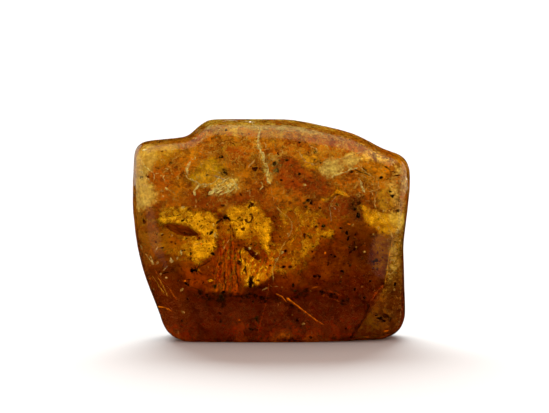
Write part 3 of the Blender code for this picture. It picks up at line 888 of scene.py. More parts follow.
class AMBER_OT_layers(Operator):
    """Lay the cloudy flows of older resin inside the block, with their painted reflections, highlights and
    shade
    """

    bl_idname = "amber.layers"
    bl_label = "Cloudy layers"

    def execute(self, context):
        sight = Sight(bpy.data.objects["amber"], context.scene)
        for layer in LAYERS:
            shell = self.shell(layer)
            self.outline(shell, layer, sight)
            dress(shell, layer.name, LayerFinish(layer).material)
        return {"FINISHED"}

    def shell(self, layer):
        """The block's own form, drawn in by the layer's insets and waved as the flow was."""
        shell = new_object(layer.name, bpy.data.objects["amber"].data.copy())
        modify(shell, "REMESH", mode="VOXEL", voxel_size=LAYER_MESH)
        modify(shell, "SMOOTH", factor=0.5, iterations=LAYER_SMOOTHING)
        low = CAD_BOX[0] + Vector((layer.sides, layer.front, layer.foot)) * MM
        high = CAD_BOX[1] - Vector((layer.sides, layer.back, layer.top)) * MM
        fit(shell, low, high)
        if layer.wave:
            for vertex in shell.data.vertices:
                vertex.co.y += layer.wave * MM * self.wave(vertex.co)
        take(shell)
        bpy.ops.object.shade_smooth()
        return shell

    def wave(self, place):
        across = math.sin(place.x / MM / WAVE_ACROSS + WAVE_START[0])
        return across * math.cos(place.z / MM / WAVE_UP + WAVE_START[1])

    def outline(self, shell, layer, sight):
        """Keep for every vertex how many pixels it lies inside each region's outline.

        Its turn to the sides is kept as well, by which the finish knows the two ends.
        """
        seen = np.array([sight.pixel_of(vertex.co) for vertex in shell.data.vertices])
        ahead = np.array([vertex.co.y / MM for vertex in shell.data.vertices])
        for region in layer.regions:
            inside = depth_in(region.outline, seen)
            inside[ahead > region.reach] = OUTSIDE
            kept = shell.data.attributes.new(region.name, "FLOAT", "POINT")
            kept.data.foreach_set("value", inside)
        sideways = shell.data.attributes.new("sideways", "FLOAT", "POINT")
        sideways.data.foreach_set("value", [abs(vertex.normal.x) for vertex in shell.data.vertices])


def depth_in(outline, seen):
    """How far inside a closed outline each seen place lies, or outside where it is negative."""
    nearest = np.full(len(seen), np.inf)
    inside = np.zeros(len(seen), bool)
    for start, end in zip(outline, outline[1:] + outline[:1]):
        start, run = np.array(start, float), np.subtract(end, start).astype(float)
        along = np.clip((seen - start) @ run / (run @ run), 0, 1)
        nearest = np.minimum(nearest, np.linalg.norm(seen - start - along[:, None] * run, axis=1))
        if run[1]:
            level = (seen[:, 1] - start[1]) / run[1]
            inside ^= (level >= 0) & (level < 1) & (seen[:, 0] < start[0] + level * run[0])
    return np.where(inside, nearest, -nearest)


# Threads: fractures seen edge-on, scratches and slivers, and lines of painted highlight and painted glow.
# Under its finish, each has its depth under the skin in millimetres, its width in pixels, and the pixels that
# it runs through.
Thread = namedtuple("Thread", "depth width points")
THREADS = {
    "white": [
        (0.4, 2.0, [(246, 121.6), (252, 122.6), (258, 127), (261, 130), (258.4, 136), (258, 143)]),
        (0.5, 2.4, [(258, 143), (258.6, 148), (262.6, 153), (264, 158), (263.6, 163)]),
        (0.5, 2.0, [(263.6, 163), (268, 168), (266.4, 175), (268, 182), (271, 184)]),
        (0.5, 2.6, [(358.9, 177.6), (361, 185.4), (364.7, 192.6)]),
        (0.5, 2.2, [(191, 161), (188.4, 165.6), (186.4, 170), (188, 175)]),
        (0.5, 1.4, [(184.6, 175), (189.6, 179), (194, 181.4), (200, 184)]),
        (0.5, 2.0, [(207, 184), (199, 185.4), (194.6, 190), (195.2, 196)]),
        (0.4, 2.4, [(208.4, 195), (214, 189), (218.4, 185), (223.6, 181), (230.4, 177)]),
        (0.4, 2.4, [(210, 195), (218, 188.6), (224, 186.4), (229, 185), (236, 184)]),
        (0.5, 1.8, [(202, 188), (210, 184), (216, 181), (220, 175.6)]),
        (0.4, 2.2, [(231, 177.6), (234, 181), (236.4, 185), (238.4, 190)]),
        (0.4, 2.0, [(219, 195.4), (226, 192.4), (230, 187), (231, 182)]),
        (0.5, 2.0, [(224, 193), (231, 191), (235, 186)]),
        (0.5, 1.6, [(212, 190), (216, 193), (222, 190.6), (226, 187)]),
        (0.4, 1.4, [(138.6, 157), (143, 163), (149, 170), (153.6, 174), (154.4, 179.4)]),
        (0.4, 1.2, [(138.4, 169.4), (145, 175), (152, 184)]),
        (0.5, 1.6, [(331, 177.4), (338, 174.4), (345.2, 172), (350.6, 169), (358, 168)]),
        (0.3, 1.5, [(140, 245), (142.6, 250)]),
        (0.3, 1.5, [(139.6, 251.6), (141.4, 255.6)]),
        (0.3, 1.3, [(155, 251), (157.8, 246.6)]),
        (0.3, 1.8, [(170.6, 257.6), (172.6, 262.6)]),
        (0.3, 1.2, [(181, 250), (181.4, 255.4)]),
        (0.3, 1.2, [(178.6, 256.6), (176.4, 260)]),
        (0.3, 1.3, [(158.6, 261.6), (156.2, 264.8)]),
        (0.3, 1.2, [(149.4, 255.8), (153.4, 263.4)]),
    ],
    "pale": [
        (0.6, 1.6, [(259.4, 141), (261, 149), (258.6, 154), (261, 160)]),
        (1.2, 0.7, [(270.8, 182), (272, 194), (275.7, 206)]),
        (1.4, 1.5, [(275.7, 206), (280.4, 211.5), (288, 217.2), (291.4, 222.4), (292, 229.8),
                    (286.4, 239.3)]),
        (1.4, 1.1, [(286.4, 239.3), (281.2, 249.3), (277.4, 258.6), (272.8, 269.5), (273.2, 282)]),
        (2.0, 0.9, [(292.7, 209.6), (297, 217), (299.6, 227.6), (302.8, 241.4), (302.8, 252)]),
        (1.0, 1.5, [(221.6, 251.2), (225, 246.5), (229.5, 239.4)]),
        (0.6, 1.2, [(270.3, 285.3), (272.8, 287.6)]),
        (0.6, 1.1, [(274.5, 286.4), (279, 286.8)]),
        (0.6, 1.0, [(261.9, 290.6), (265, 289), (268.6, 288)]),
        (0.5, 1.5, [(378.7, 180.4), (377.8, 188.5), (375, 197.5), (374.6, 204.8), (377, 212),
                    (382.4, 218.4), (387.8, 225), (391.1, 232.9), (392.6, 239)]),
        (0.6, 1.2, [(195.2, 196), (196, 201), (195.4, 208)]),
        (0.5, 1.4, [(248, 168), (251, 164), (254.6, 159.6)]),
        (0.5, 1.3, [(250.6, 191), (249.8, 197.5)]),
        (0.4, 1.2, [(137.6, 188), (143, 184), (149, 187)]),
        (0.5, 1.0, [(281.8, 132.6), (288, 131), (297, 130.2)]),
        (0.5, 0.9, [(323.4, 136.8), (328, 138.8), (333.4, 139.6)]),
        (0.5, 2.0, [(309, 144), (313, 148), (317, 149.5), (318, 153.6)]),
        (0.5, 1.8, [(299, 152), (302, 157.4), (306, 162), (312, 164.4), (318.6, 163)]),
        (0.5, 1.5, [(322, 163), (332, 159.6), (344, 158), (354, 155), (362, 152)]),
        (0.5, 1.4, [(360.6, 154.5), (358.4, 160), (358, 165), (366, 172.6), (376, 179)]),
        # Painted highlight: a pale line along the right edge, where light is mirrored
        (0.4, 1.6, [(399, 180), (405, 183), (408, 189), (407, 198), (402, 206)]),
        (0.5, 0.8, [(353, 172.4), (360, 175), (367, 178)]),
        (0.4, 1.0, [(144.8, 253.5), (149, 258.4), (153.2, 263.4)]),
        (0.4, 1.0, [(154.8, 252.9), (158, 247)]),
        (0.4, 1.2, [(168, 265.5), (165, 268.4), (162.6, 270.8)]),
        (0.4, 1.5, [(177.4, 329.6), (178.5, 334.5)]),
        # Painted reflection: a pale arc low on the right edge
        (0.4, 1.2, [(400.7, 306), (400.5, 316.6), (397.5, 328)]),
        (0.4, 1.3, [(402.4, 226), (400.6, 230), (402, 235)]),
    ],
    "red": [
        (1.6, 1.3, [(270.3, 257), (269.4, 273.8), (268.5, 288), (264.9, 307), (258.6, 329),
                    (258, 338)]),
        (2.0, 0.9, [(302.8, 252), (302.2, 259), (301.2, 266)]),
        (0.6, 2.2, [(383.2, 284.8), (375.3, 293.3), (370, 302.8)]),
        (1.2, 1.3, [(322, 288.6), (330, 291.4), (342.4, 295.2)]),
        (1.2, 1.2, [(326, 296.5), (339.3, 301.7), (356.2, 306.5)]),
        (0.9, 0.8, [(254.5, 178.8), (262, 179.8), (269, 179.2)]),
        (0.6, 1.1, [(154.6, 269.5), (162.3, 281), (169.8, 288.6), (176.5, 299.9)]),
        (8.4, 1.6, [(220.6, 240), (221, 252), (220, 266), (221, 286)]),
        (8.4, 1.5, [(227.4, 262), (227.8, 274), (228.6, 289)]),
        (8.4, 1.2, [(218.6, 256), (216.4, 266), (216.6, 282)]),
    ],
    "grey": [
        (1.0, 0.7, [(192.2, 246), (198, 243.6), (204.6, 240.5)]),
        (0.7, 0.9, [(331.9, 204.3), (329.8, 208), (330.4, 214), (331.3, 221.3)]),
        (0.7, 1.2, [(331.3, 205.4), (333.4, 207), (336.1, 209.6)]),
        (0.7, 1.2, [(338.2, 208), (338.9, 211.8)]),
        (0.8, 0.9, [(330.8, 202.2), (334, 199.2), (336.1, 195.9)]),
        (0.5, 2.4, [(214, 176), (221, 178), (226, 181)]),
    ],
    "gold": [
        (0.5, 1.1, [(392.6, 239), (390, 252), (387.4, 267.9), (384.8, 285.9)]),
        (0.6, 1.1, [(152, 275.4), (158, 284), (165, 295)]),
        (0.6, 1.1, [(157.6, 276.3), (163, 286), (168, 297)]),
        (8.6, 1.2, [(232.6, 251), (232.8, 258), (233.6, 269), (234.6, 279), (236, 289)]),
        (8.6, 1.0, [(236.8, 250), (237.2, 256), (238, 264)]),
        (8.6, 1.0, [(249.8, 262), (250, 268), (251.6, 274)]),
    ],
    "dark_red": [
        (0.6, 3.4, [(369.4, 303.4), (364.7, 317.6), (354, 332.4), (350, 338.8)]),
        (0.5, 2.4, [(382.3, 165), (386, 167), (389.6, 169.6)]),
        (0.5, 2.2, [(394, 176), (400.4, 174.9)]),
        (8.4, 1.6, [(234.6, 246), (235, 256), (236.2, 270), (238.4, 288)]),
        (8.4, 1.3, [(230, 224), (231, 240), (230.8, 258), (232, 276), (233, 290)]),
        (8.4, 1.8, [(240.2, 249), (240.4, 257), (241.4, 266)]),
        (8.4, 1.5, [(246, 258), (245, 266), (246.6, 275)]),
        (8.4, 1.3, [(224, 250), (224.2, 264), (224.4, 280), (225.6, 290)]),
    ],
    "orange": [
        (0.7, 0.9, [(275.7, 293.5), (282, 296.6), (286.5, 302.3)]),
        (0.7, 1.9, [(286.5, 297.8), (297, 305.5), (308.2, 314.2), (316.5, 320.6)]),
        (0.7, 0.9, [(314, 319.4), (319, 321.8), (324.4, 325)]),
        (1.0, 0.9, [(311.4, 288.4), (315, 287), (320, 286.8)]),
        (0.6, 1.0, [(169.8, 289.2), (172.6, 293.6), (175.9, 299.4)]),
        (0.5, 1.3, [(157.4, 306.4), (165, 307.4), (172, 311.2)]),
    ],
    "black": [
        (0.7, 1.4, [(354.4, 169.2), (360, 172), (366, 173.4), (370.8, 176)]),
        (1.2, 3.0, [(209.4, 235), (213, 230.7)]),
        (1.2, 2.2, [(184.2, 282.4), (187, 284.2), (189.5, 286)]),
        (1.3, 0.9, [(161.8, 267.8), (164.9, 262.6)]),
        (7.8, 0.8, [(196.4, 269), (198.6, 266.2), (204, 265), (210.8, 260.4)]),
        (7.8, 0.7, [(197.4, 267.4), (200.2, 263.4)]),
        (7.8, 0.7, [(197.8, 271.2), (200, 273.6), (202, 274.8)]),
        (7.8, 0.6, [(195.6, 271.6), (198, 275.6)]),
        (7.8, 0.6, [(193.2, 271.6), (194.6, 274)]),
        (7.8, 0.6, [(191.6, 269.4), (190.4, 267)]),
        (7.8, 4.8, [(190, 270.9), (192, 270.7), (194, 270.5)]),
        (7.8, 5.0, [(194.2, 270.5), (196, 270.2), (198.2, 269.6)]),
        (8.2, 6.0, [(225.4, 214.4), (225.5, 217.2), (225.0, 220.4)]),
        (8.3, 2.0, [(226, 216.8), (229, 219.4), (231.2, 221.2)]),
        (8.2, 2.6, [(222.0, 218.6), (219, 221.2), (215.9, 224.0)]),
    ],
    "brown": [
        (8.2, 1.0, [(166, 216.4), (173, 216), (181, 214.8)]),
        (8.2, 1.0, [(192.4, 217), (195.6, 213), (197, 209.6)]),
        (8.2, 0.9, [(184, 218), (188, 222), (192, 227)]),
        (1.4, 1.3, [(189.5, 286), (200.4, 290.6), (206, 293.4)]),
        (1.4, 1.2, [(240.8, 253), (240.3, 257), (241.8, 262), (239, 268.7)]),
        (1.2, 0.9, [(303, 234), (304.4, 238), (308, 239.6)]),
        (1.2, 0.9, [(307, 232), (311, 234), (311.6, 238)]),
        (8.3, 2.0, [(224.4, 218.4), (223, 220.4), (221.6, 222.4)]),
        (8.3, 1.1, [(224, 216.6), (220, 216), (216.4, 218.4)]),
        (8.3, 1.3, [(231.2, 221.2), (236, 219.4), (241, 217)]),
        (8.3, 1.4, [(232.4, 227), (233, 234), (233.4, 242)]),
    ],
    # Painted glow: orange lines that glow, for light from behind shining through the cracks
    "glow": [
        (1.2, 3.0, [(334.6, 184.4), (337.4, 187), (337, 190.6), (334.2, 193.6)]),
        (1.2, 3.0, [(337, 190.6), (341.4, 193.2), (344.6, 193.6), (349.6, 196.8)]),
        (1.2, 2.4, [(334.2, 193.6), (330.6, 196.6)]),
        (1.2, 2.4, [(320.8, 198.8), (325, 200.4), (329, 200.6)]),
        (1.2, 1.4, [(303, 196.4), (306.4, 196.6), (310, 195)]),
        (1.2, 3.2, [(362.6, 205.4), (364.6, 208), (367.4, 210.4), (369, 212.8)]),
        (1.2, 2.6, [(365, 213), (367.4, 216.4)]),
        (1.2, 1.4, [(289.6, 246), (291, 242.4), (293.6, 238)]),
    ],
    # Painted highlights on the polish: white marks just under the skin that glow
    "glint": [
        (0.15, 2.0, [(142.4, 150.4), (144.6, 149.8), (146.8, 149.6)]),
        (0.15, 1.3, [(405.6, 176.6), (407.4, 182), (407.8, 190)]),
        (0.15, 1.1, [(222, 121.4), (229, 120.6), (238, 120.8)]),
        (0.15, 1.6, [(244, 121.6), (250, 122), (255, 122.6)]),
    ],
}
THREAD_SEED = 7
THREAD_STEP = 2.0  # pixels between the points of a thread
THREAD_SWAY = {"orange": 0.1, "gold": 0.35, "black": 0.2, "white": 0.9}  # how far each one strays
USUAL_SWAY = 0.6
THREAD_SWELL = {"black": (0.9, 1.0, 1.1)}  # how much of its width a thread has at its points
USUAL_SWELL = (0.35, 0.7, 1.0, 1.5)
THREAD_TIP = 0.2
THREAD_ROUND = 0.42  # its radius in pixels, for a width of one

CRUMBLY_TOP = [(138, 150), (168, 143), (196, 140), (206, 126), (250, 123), (300, 128), (352, 144),
               (376, 152), (404, 160), (405, 206), (398, 262), (388, 262), (384, 222), (352, 196),
               (341, 197), (335, 183), (319, 173), (304, 164), (297, 157), (287, 154), (276, 158),
               (272, 176), (270, 198), (180, 200), (150, 208), (138, 204)]
CRUMBLY_STRIP = [(394, 228), (403, 222), (403, 248), (398, 270), (391, 286), (386, 284), (388, 264)]
CRUMBLY_NEST = [(208, 196), (216, 184), (228, 176), (238, 182), (238, 190), (231, 195), (220, 197)]
# How many wisps lie in each patch, and their finishes
WISPS = [
    (330, CRUMBLY_TOP, ["white", "pale", "pale", "gold", "gold", "gold", "brown"]),
    (50, CRUMBLY_STRIP, ["white", "pale", "pale", "gold", "brown"]),
    (14, CRUMBLY_NEST, ["white", "pale", "gold"]),
]
WISP_INSET = 1.5  # pixels that they stay inside their patch
WISP_JOINTS = (2, 6)
WISP_STEP = (1.5, 1.2)  # pixels across and down from joint to joint
WISP_BEND, WISP_STRAY = 0.7, 0.4  # in radians, all along and at each joint
WISP_DEPTHS, WISP_WIDTHS = (0.4, 1.6), (0.5, 1.3)


class AMBER_OT_threads(Operator):
    """Draw the fractures, scratches and slivers that show as fine lines, and the painted highlights and glow
    """

    bl_idname = "amber.threads"
    bl_label = "Fractures and slivers"

    def execute(self, context):
        sight = Sight(bpy.data.objects["amber"], context.scene)
        chance = random.Random(THREAD_SEED)
        rows = {kind: [Thread(*row) for row in THREADS[kind]] for kind in THREADS}
        for count, outline, finishes in WISPS:
            for _ in range(count):
                points = self.wisp(chance, outline)
                kind = chance.choice(finishes)
                depth, width = chance.uniform(*WISP_DEPTHS), chance.uniform(*WISP_WIDTHS)
                rows[kind].append(Thread(depth, width, points))
        for kind in rows:
            take()
            bpy.ops.curve.primitive_nurbs_path_add()
            curve = bpy.context.object.data
            curve.splines.clear()
            curve.bevel_depth = PIXEL * THREAD_ROUND
            curve.bevel_resolution = 0
            curve.use_fill_caps = True
            for row in rows[kind]:
                self.thread(curve, kind, row, sight, chance)
            bpy.ops.object.convert(target="MESH")
            dress(bpy.context.object, kind + "_threads", line_finish(kind))
        return {"FINISHED"}

    def wisp(self, chance, outline):
        """A short curled line somewhere in one of the crumbly patches."""
        spans = [(min(side), max(side)) for side in zip(*outline)]
        while True:
            x, y = (chance.uniform(*span) for span in spans)
            if self.holds(outline, x, y):
                break
        way, bend = chance.uniform(0, math.tau), chance.uniform(-WISP_BEND, WISP_BEND)
        points = [(x, y)]
        for _ in range(chance.randint(*WISP_JOINTS)):
            x, y = x + WISP_STEP[0] * math.cos(way), y + WISP_STEP[1] * math.sin(way)
            way += bend + chance.uniform(-WISP_STRAY, WISP_STRAY)
            if self.holds(outline, x, y):
                points.append((x, y))
        return points

    def holds(self, outline, x, y):
        return depth_in(outline, np.array([(x, y)]))[0] > WISP_INSET

    def thread(self, curve, kind, row, sight, chance):
        """A tapering strand through the row's pixels, a little uneven in its width."""
        sways = THREAD_SWAY.get(kind, USUAL_SWAY)
        steps = [row.points[0]]
        for start, end in zip(row.points, row.points[1:]):
            parts = max(1, round(math.dist(start, end) / THREAD_STEP))
            for part in range(1, parts + 1):
                sway = sways if part < parts else 0.0
                steps.append(tuple(
                    near + (far - near) * part / parts + chance.uniform(-sway, sway)
                    for near, far in zip(start, end)
                ))
        spline = curve.splines.new("POLY")
        spline.points.add(len(steps) - 1)
        for number, (point, pixel) in enumerate(zip(spline.points, steps)):
            point.co = (*sight.under(*pixel, row.depth * MM), 1.0)
            end = number in (0, len(steps) - 1)
            swell = chance.choice(THREAD_SWELL.get(kind, USUAL_SWELL))
            point.radius = row.width * (THREAD_TIP if end else swell)


LINE_CLOUDS, GAP_CLOUDS = (0.5, 4.0), (0.7, 3.0)  # size in millimetres, and detail
LINE_LIGHT = (0.7, 1.25)  # how much darker and lighter they are along their length
SEALED_SHINE = 0.05  # resin bends light nearly as they do, so what it holds hardly shines
# The colours of the lines and flecks, how much they cover, also in their gaps, how rough they
# are, and how strongly they glow: a painted glow, for light from behind glinting in them
LINE_FINISHES = {
    "pale": ((250, 222, 165), 0.9, 0.2, 0.35, 0.04),
    "white": ((255, 250, 205), 1.0, 0.3, 0.4, 0.08),
    "glint": ((255, 252, 255), 1.0, 0.4, 0.3, 0.8),
    "glow": ((255, 190, 20), 0.75, 0.25, 0.35, 0.16),
    "grey": ((220, 205, 200), 0.75, 0.25, 0.4, 0.0),
    "gold": ((250, 190, 65), 0.8, 0.2, 0.35, 0.08),
    "orange": ((255, 150, 15), 0.95, 0.6, 0.3, 0.2),
    "red": ((215, 95, 8), 0.7, 0.3, 0.4, 0.05),
    "dark_red": ((95, 30, 5), 0.85, 0.5, 0.5, 0.0),
    "brown": ((90, 40, 8), 0.9, 0.4, 0.5, 0.0),
    "umber": ((62, 19, 3), 0.52, 0.12, 0.6, 0.0),
    "black": ((16, 9, 5), 1.0, 1.0, 0.45, 0.0),
    "olive": ((80, 68, 30), 0.8, 0.4, 0.5, 0.0),
}


def line_finish(kind):
    """The finish of the lines and flecks of one colour, uneven along them, with its painted glow."""
    colour, cover, gap, roughness, glint = LINE_FINISHES[kind]
    colour = tone(*colour)
    finish = Finish(kind)
    place = finish.place()
    light = finish.fade(finish.grain(place, *LINE_CLOUDS), 0.3, 0.7, *LINE_LIGHT)
    alpha = finish.fade(finish.grain(place, *GAP_CLOUDS), 0.42, 0.58, gap, cover)
    return finish.surface(
        Base_Color=finish.scaled(colour, light),
        Roughness=roughness,
        Alpha=alpha,
        Specular_IOR_Level=SEALED_SHINE,
        Emission_Color=colour,
        Emission_Strength=glint,
    )


# Flecks: each with its pixel, its length and width in pixels, and its turn in degrees if any
Fleck = namedtuple("Fleck", "x y long wide turn", defaults=[0])
FLECKS = {
    "black": [
        (213, 253.6, 3.2, 2.6, 20), (219.8, 263.6, 4.2, 1.9, -50), (186.6, 283.6, 3.4, 1.7, 30),
        (285.3, 251.2, 3, 2.2), (316, 226.6, 2.2, 2), (319.7, 208, 3, 1.6, 10),
        (337, 204.3, 3.2, 1.6, 30), (358.9, 215.6, 5.4, 4.4, 20), (353, 204, 3, 2.4, -50),
        (355, 209, 3.2, 2.4, -40), (304.5, 202.5, 4, 2.4), (308.4, 200.6, 4.6, 3, 20),
        (311.4, 203, 3.4, 2, 60), (306, 206.6, 3, 1.8), (346.7, 233, 4, 2.6, 80),
        (347.8, 238.6, 4.4, 2.2, 100), (340.3, 228, 3.4, 1.3), (342, 271, 2.6, 2.2),
        (364.7, 297.5, 2.6, 2.4), (380, 318.4, 5.4, 2.8, 15), (384, 320.6, 4, 2.4, 40),
        (376.6, 315.4, 3, 1.8), (394.9, 284.4, 2.4, 4.4), (293.2, 285, 2.6, 3.4),
        (291.8, 305, 4.6, 2, 20), (297.4, 320.2, 2.2, 2.8), (311, 337.2, 2.8, 2),
        (345.6, 328.7, 2, 1.6), (355, 289, 2, 3.4, 20), (253.4, 301, 2, 1.8), (252, 328.8, 5.6, 1.9, 5),
        (219.9, 313.4, 3.4, 2, 30), (220.4, 321.6, 2.8, 2.2, 20), (224.8, 174.2, 5, 3.2, 20),
        (221, 156.8, 3.8, 2.8, 40), (226.4, 155.9, 1.8, 1.8), (216.4, 137.7, 2, 1.7),
        (171, 162.6, 2.6, 1.8), (141.7, 177.6, 5.4, 2.8, 10), (315.3, 151.8, 3.2, 2.2),
        (314.6, 159.4, 4.4, 1.7, -40), (320.7, 162.6, 2.2, 1.8), (299.4, 174, 3, 2.4, -20),
        (281.3, 179.9, 2.8, 1.5, 20), (279.5, 160.4, 2.2, 1.6), (299.9, 142.3, 2, 1.6),
        (351.5, 172, 3.2, 2), (389.4, 191.4, 4.4, 2.4, 30), (392.4, 196.4, 4, 3.4, 20),
        (381.4, 177.6, 3, 2.6), (328, 168, 1.8, 1.6), (270.2, 265.6, 3.4, 1.3, -10), (363.8, 276, 2, 2),
        (226, 130, 2, 1.8), (296, 130.6, 3, 1.2, 5), (291.4, 131.6, 1.8, 1.6), (310, 132.6, 2.4, 1.6),
        (370.4, 281, 2.2, 2.6), (349.6, 247.4, 2, 2), (335.4, 256.4, 2.6, 2.4), (190.6, 254, 2, 3),
        (187.8, 298.5, 2.4, 1.6),
    ],
    "brown": [
        (242.9, 228.7, 4, 2.6, 10), (252.6, 204.7, 4.4, 3, -20), (249, 206.6, 4, 2.6),
        (304.3, 235.4, 3, 4), (310.7, 237.4, 3.4, 3), (307.6, 235.6, 3, 2), (340.3, 281.6, 3.4, 2),
        (215, 320.4, 4.4, 1.8, 20), (182, 320.6, 2.2, 2.8), (181.6, 326.3, 2.4, 2),
        (144.8, 221.6, 5, 4), (238.6, 262.6, 4, 4), (244.2, 270.2, 3.6, 1.8, -50),
        (258.6, 280.4, 4, 1.8, 20), (217.6, 228.2, 3, 2, -50), (228.4, 229.8, 2.4, 2),
        (222.6, 205.6, 3.4, 2), (290, 266.6, 4.6, 2.4), (283.6, 267, 4, 2.4, 10), (359.6, 203, 6, 4),
        (373.4, 268.6, 3, 2.6), (376, 260, 4, 3), (255, 168.6, 5, 4.4), (264, 172, 2.6, 1.6),
        (190.6, 258.4, 2, 3), (246.4, 249.6, 4.6, 2.6, 30),
    ],
    # Pale crumbs and chips; those at the right edge, from x 389 to 405, are partly painted glints
    "pale": [
        (276.6, 259.4, 4.6, 3.2, -50), (172, 235.4, 2.6, 1.6, 60), (162.3, 233.8, 2.4, 1.4),
        (171.6, 261.2, 3.6, 3.2, 40), (177.2, 258.2, 2, 1.8), (181.4, 252.8, 1.4, 4),
        (160.4, 274, 1.8, 2.2), (166.5, 277.7, 2.4, 2), (153.8, 289, 2.2, 1.6, 30),
        (182, 289.5, 3.2, 1.8, -30), (183, 312, 3.4, 2, 20), (141.5, 247, 3, 2.4), (143, 262.2, 2, 1.8),
        (152.9, 263.6, 2.8, 2.2), (157.2, 263, 2.4, 2), (303.4, 324, 3.4, 1.7, 10),
        (209.2, 152.7, 2.8, 1.4, 20), (246.8, 138.6, 2.4, 1.8), (162, 191, 3.4, 2.8),
        (163, 196.6, 2.6, 1.8), (161.2, 175.8, 2, 1.8), (194.6, 138.4, 4.6, 2, -20),
        (394.3, 290, 2.6, 2), (389, 273.8, 2.2, 2), (397.4, 253, 2.2, 3), (395.4, 247, 2, 2),
        (394, 260, 1.8, 2.4), (398.4, 266, 1.4, 3), (378.4, 227.6, 2, 1.6), (373.4, 234.6, 1.8, 1.8),
        (364.4, 251.8, 2, 2.2), (256.8, 253.6, 3, 1.1, -50), (403, 218, 1.6, 3.4), (396, 240, 1.6, 2),
        (236, 127, 3, 1.2), (268, 122.6, 5, 1.4), (280.4, 122, 6, 1.2), (297, 127.4, 5, 1.2, 6),
        (309, 131.4, 3, 1.4), (338, 146.4, 1.6, 4, 10), (352.6, 224.8, 3, 1.6, -40),
        (365.4, 146.4, 3.4, 2, 20), (371, 150.4, 4, 2, 30), (358, 158.4, 1.8, 3.4, 20),
        (376.6, 149.6, 4, 1.8, 20), (368, 162, 3, 1.6), (386, 200.8, 4, 1.3, 40),
        (396.4, 190.4, 1.3, 5, -20), (404.8, 184, 1.5, 9), (401, 202, 2, 1.6),
    ],
    # Some are painted highlights: at 144,150 on the polish, and at 249.6,248.3 and 282.5,252.5 on bubbles
    "white": [
        (182.8, 207.5, 2.4, 3), (166.6, 188.5, 3, 1.5, 40), (282.5, 252.5, 2.6, 2, -30),
        (249.6, 248.3, 2, 2), (144, 150, 4.4, 1.8, -8), (213.6, 224.6, 1.3, 3),
        (214.8, 234.4, 1.2, 4, 10), (304.9, 184.9, 2.2, 1.8),
    ],
    "orange": [
        (325, 253, 2.2, 2), (184.9, 281, 1.8, 1.4), (239.2, 320, 1.8, 1.6), (349, 224, 3, 1),
        (386, 331, 5, 0.9), (368.6, 337, 5, 0.8),
    ],
    # Painted glints: orange spots that glow, for light shining through bubbles and gaps
    "glow": [
        (210.4, 280.4, 4.2, 3, 20), (198.8, 269.8, 1.8, 1.6), (293, 239.6, 2.4, 1.6, 40),
        (289, 247.6, 2.8, 1.4, 30),
    ],
    "umber": [
        (207, 296, 14, 7, 10), (222, 301, 10, 10, 40), (248, 297, 16, 7, -6), (261, 300, 12, 7, 10),
        (299, 293.6, 16, 7, -10), (329, 293, 16, 7, 16), (345, 302, 10, 7), (251, 279.6, 7, 6, 70),
        (252, 285, 8, 6, 30), (233, 295, 10, 5), (386, 319, 10, 7, 20), (376, 262, 8, 5, 20),
        (365, 170, 6, 3, 20),
    ],
    "olive": [
        (257.8, 319, 6.4, 4.4, -40), (222.2, 298.2, 8, 5, 30), (274.6, 164, 4, 5),
        (276.6, 170.4, 4.6, 5), (398.4, 210.8, 4, 3.4), (323.6, 225.8, 3, 3), (214.6, 285.4, 4, 3.4),
        (223.4, 292, 4, 3), (221.9, 147.7, 2, 1.8), (292.8, 181.4, 2, 1.6), (287, 160, 3, 2),
        (295, 290.6, 3, 2), (225, 172.6, 9, 5, 10),
    ],
}
SCATTER = {"black": 150, "brown": 500, "pale": 60, "orange": 16, "olive": 50}
SCATTER_SEED = 41
FLECK_DEPTHS = (0.5, 1.6)  # under the skin, in millimetres
CLUMP_FROM = 3.5  # pixels; a fleck as long as this is a few crumbs
CRUMB_SHARE = 1.25  # how large the crumbs of a clump are, over the root of their number
CRUMB_SPREAD = 0.8
CRUMB_ROUND = 1.1
FLATNESS = 0.6
SCATTER_INSET = 0.5 * MM
SCATTER_SIZES, SCATTER_STRETCH = (0.4, 1.0), (1.0, 1.4, 2.2)
LUMP_SIZE, LUMP_HEIGHT, LUMP_MIDDLE = 0.16 * MM, 0.45 * MM, 0.42


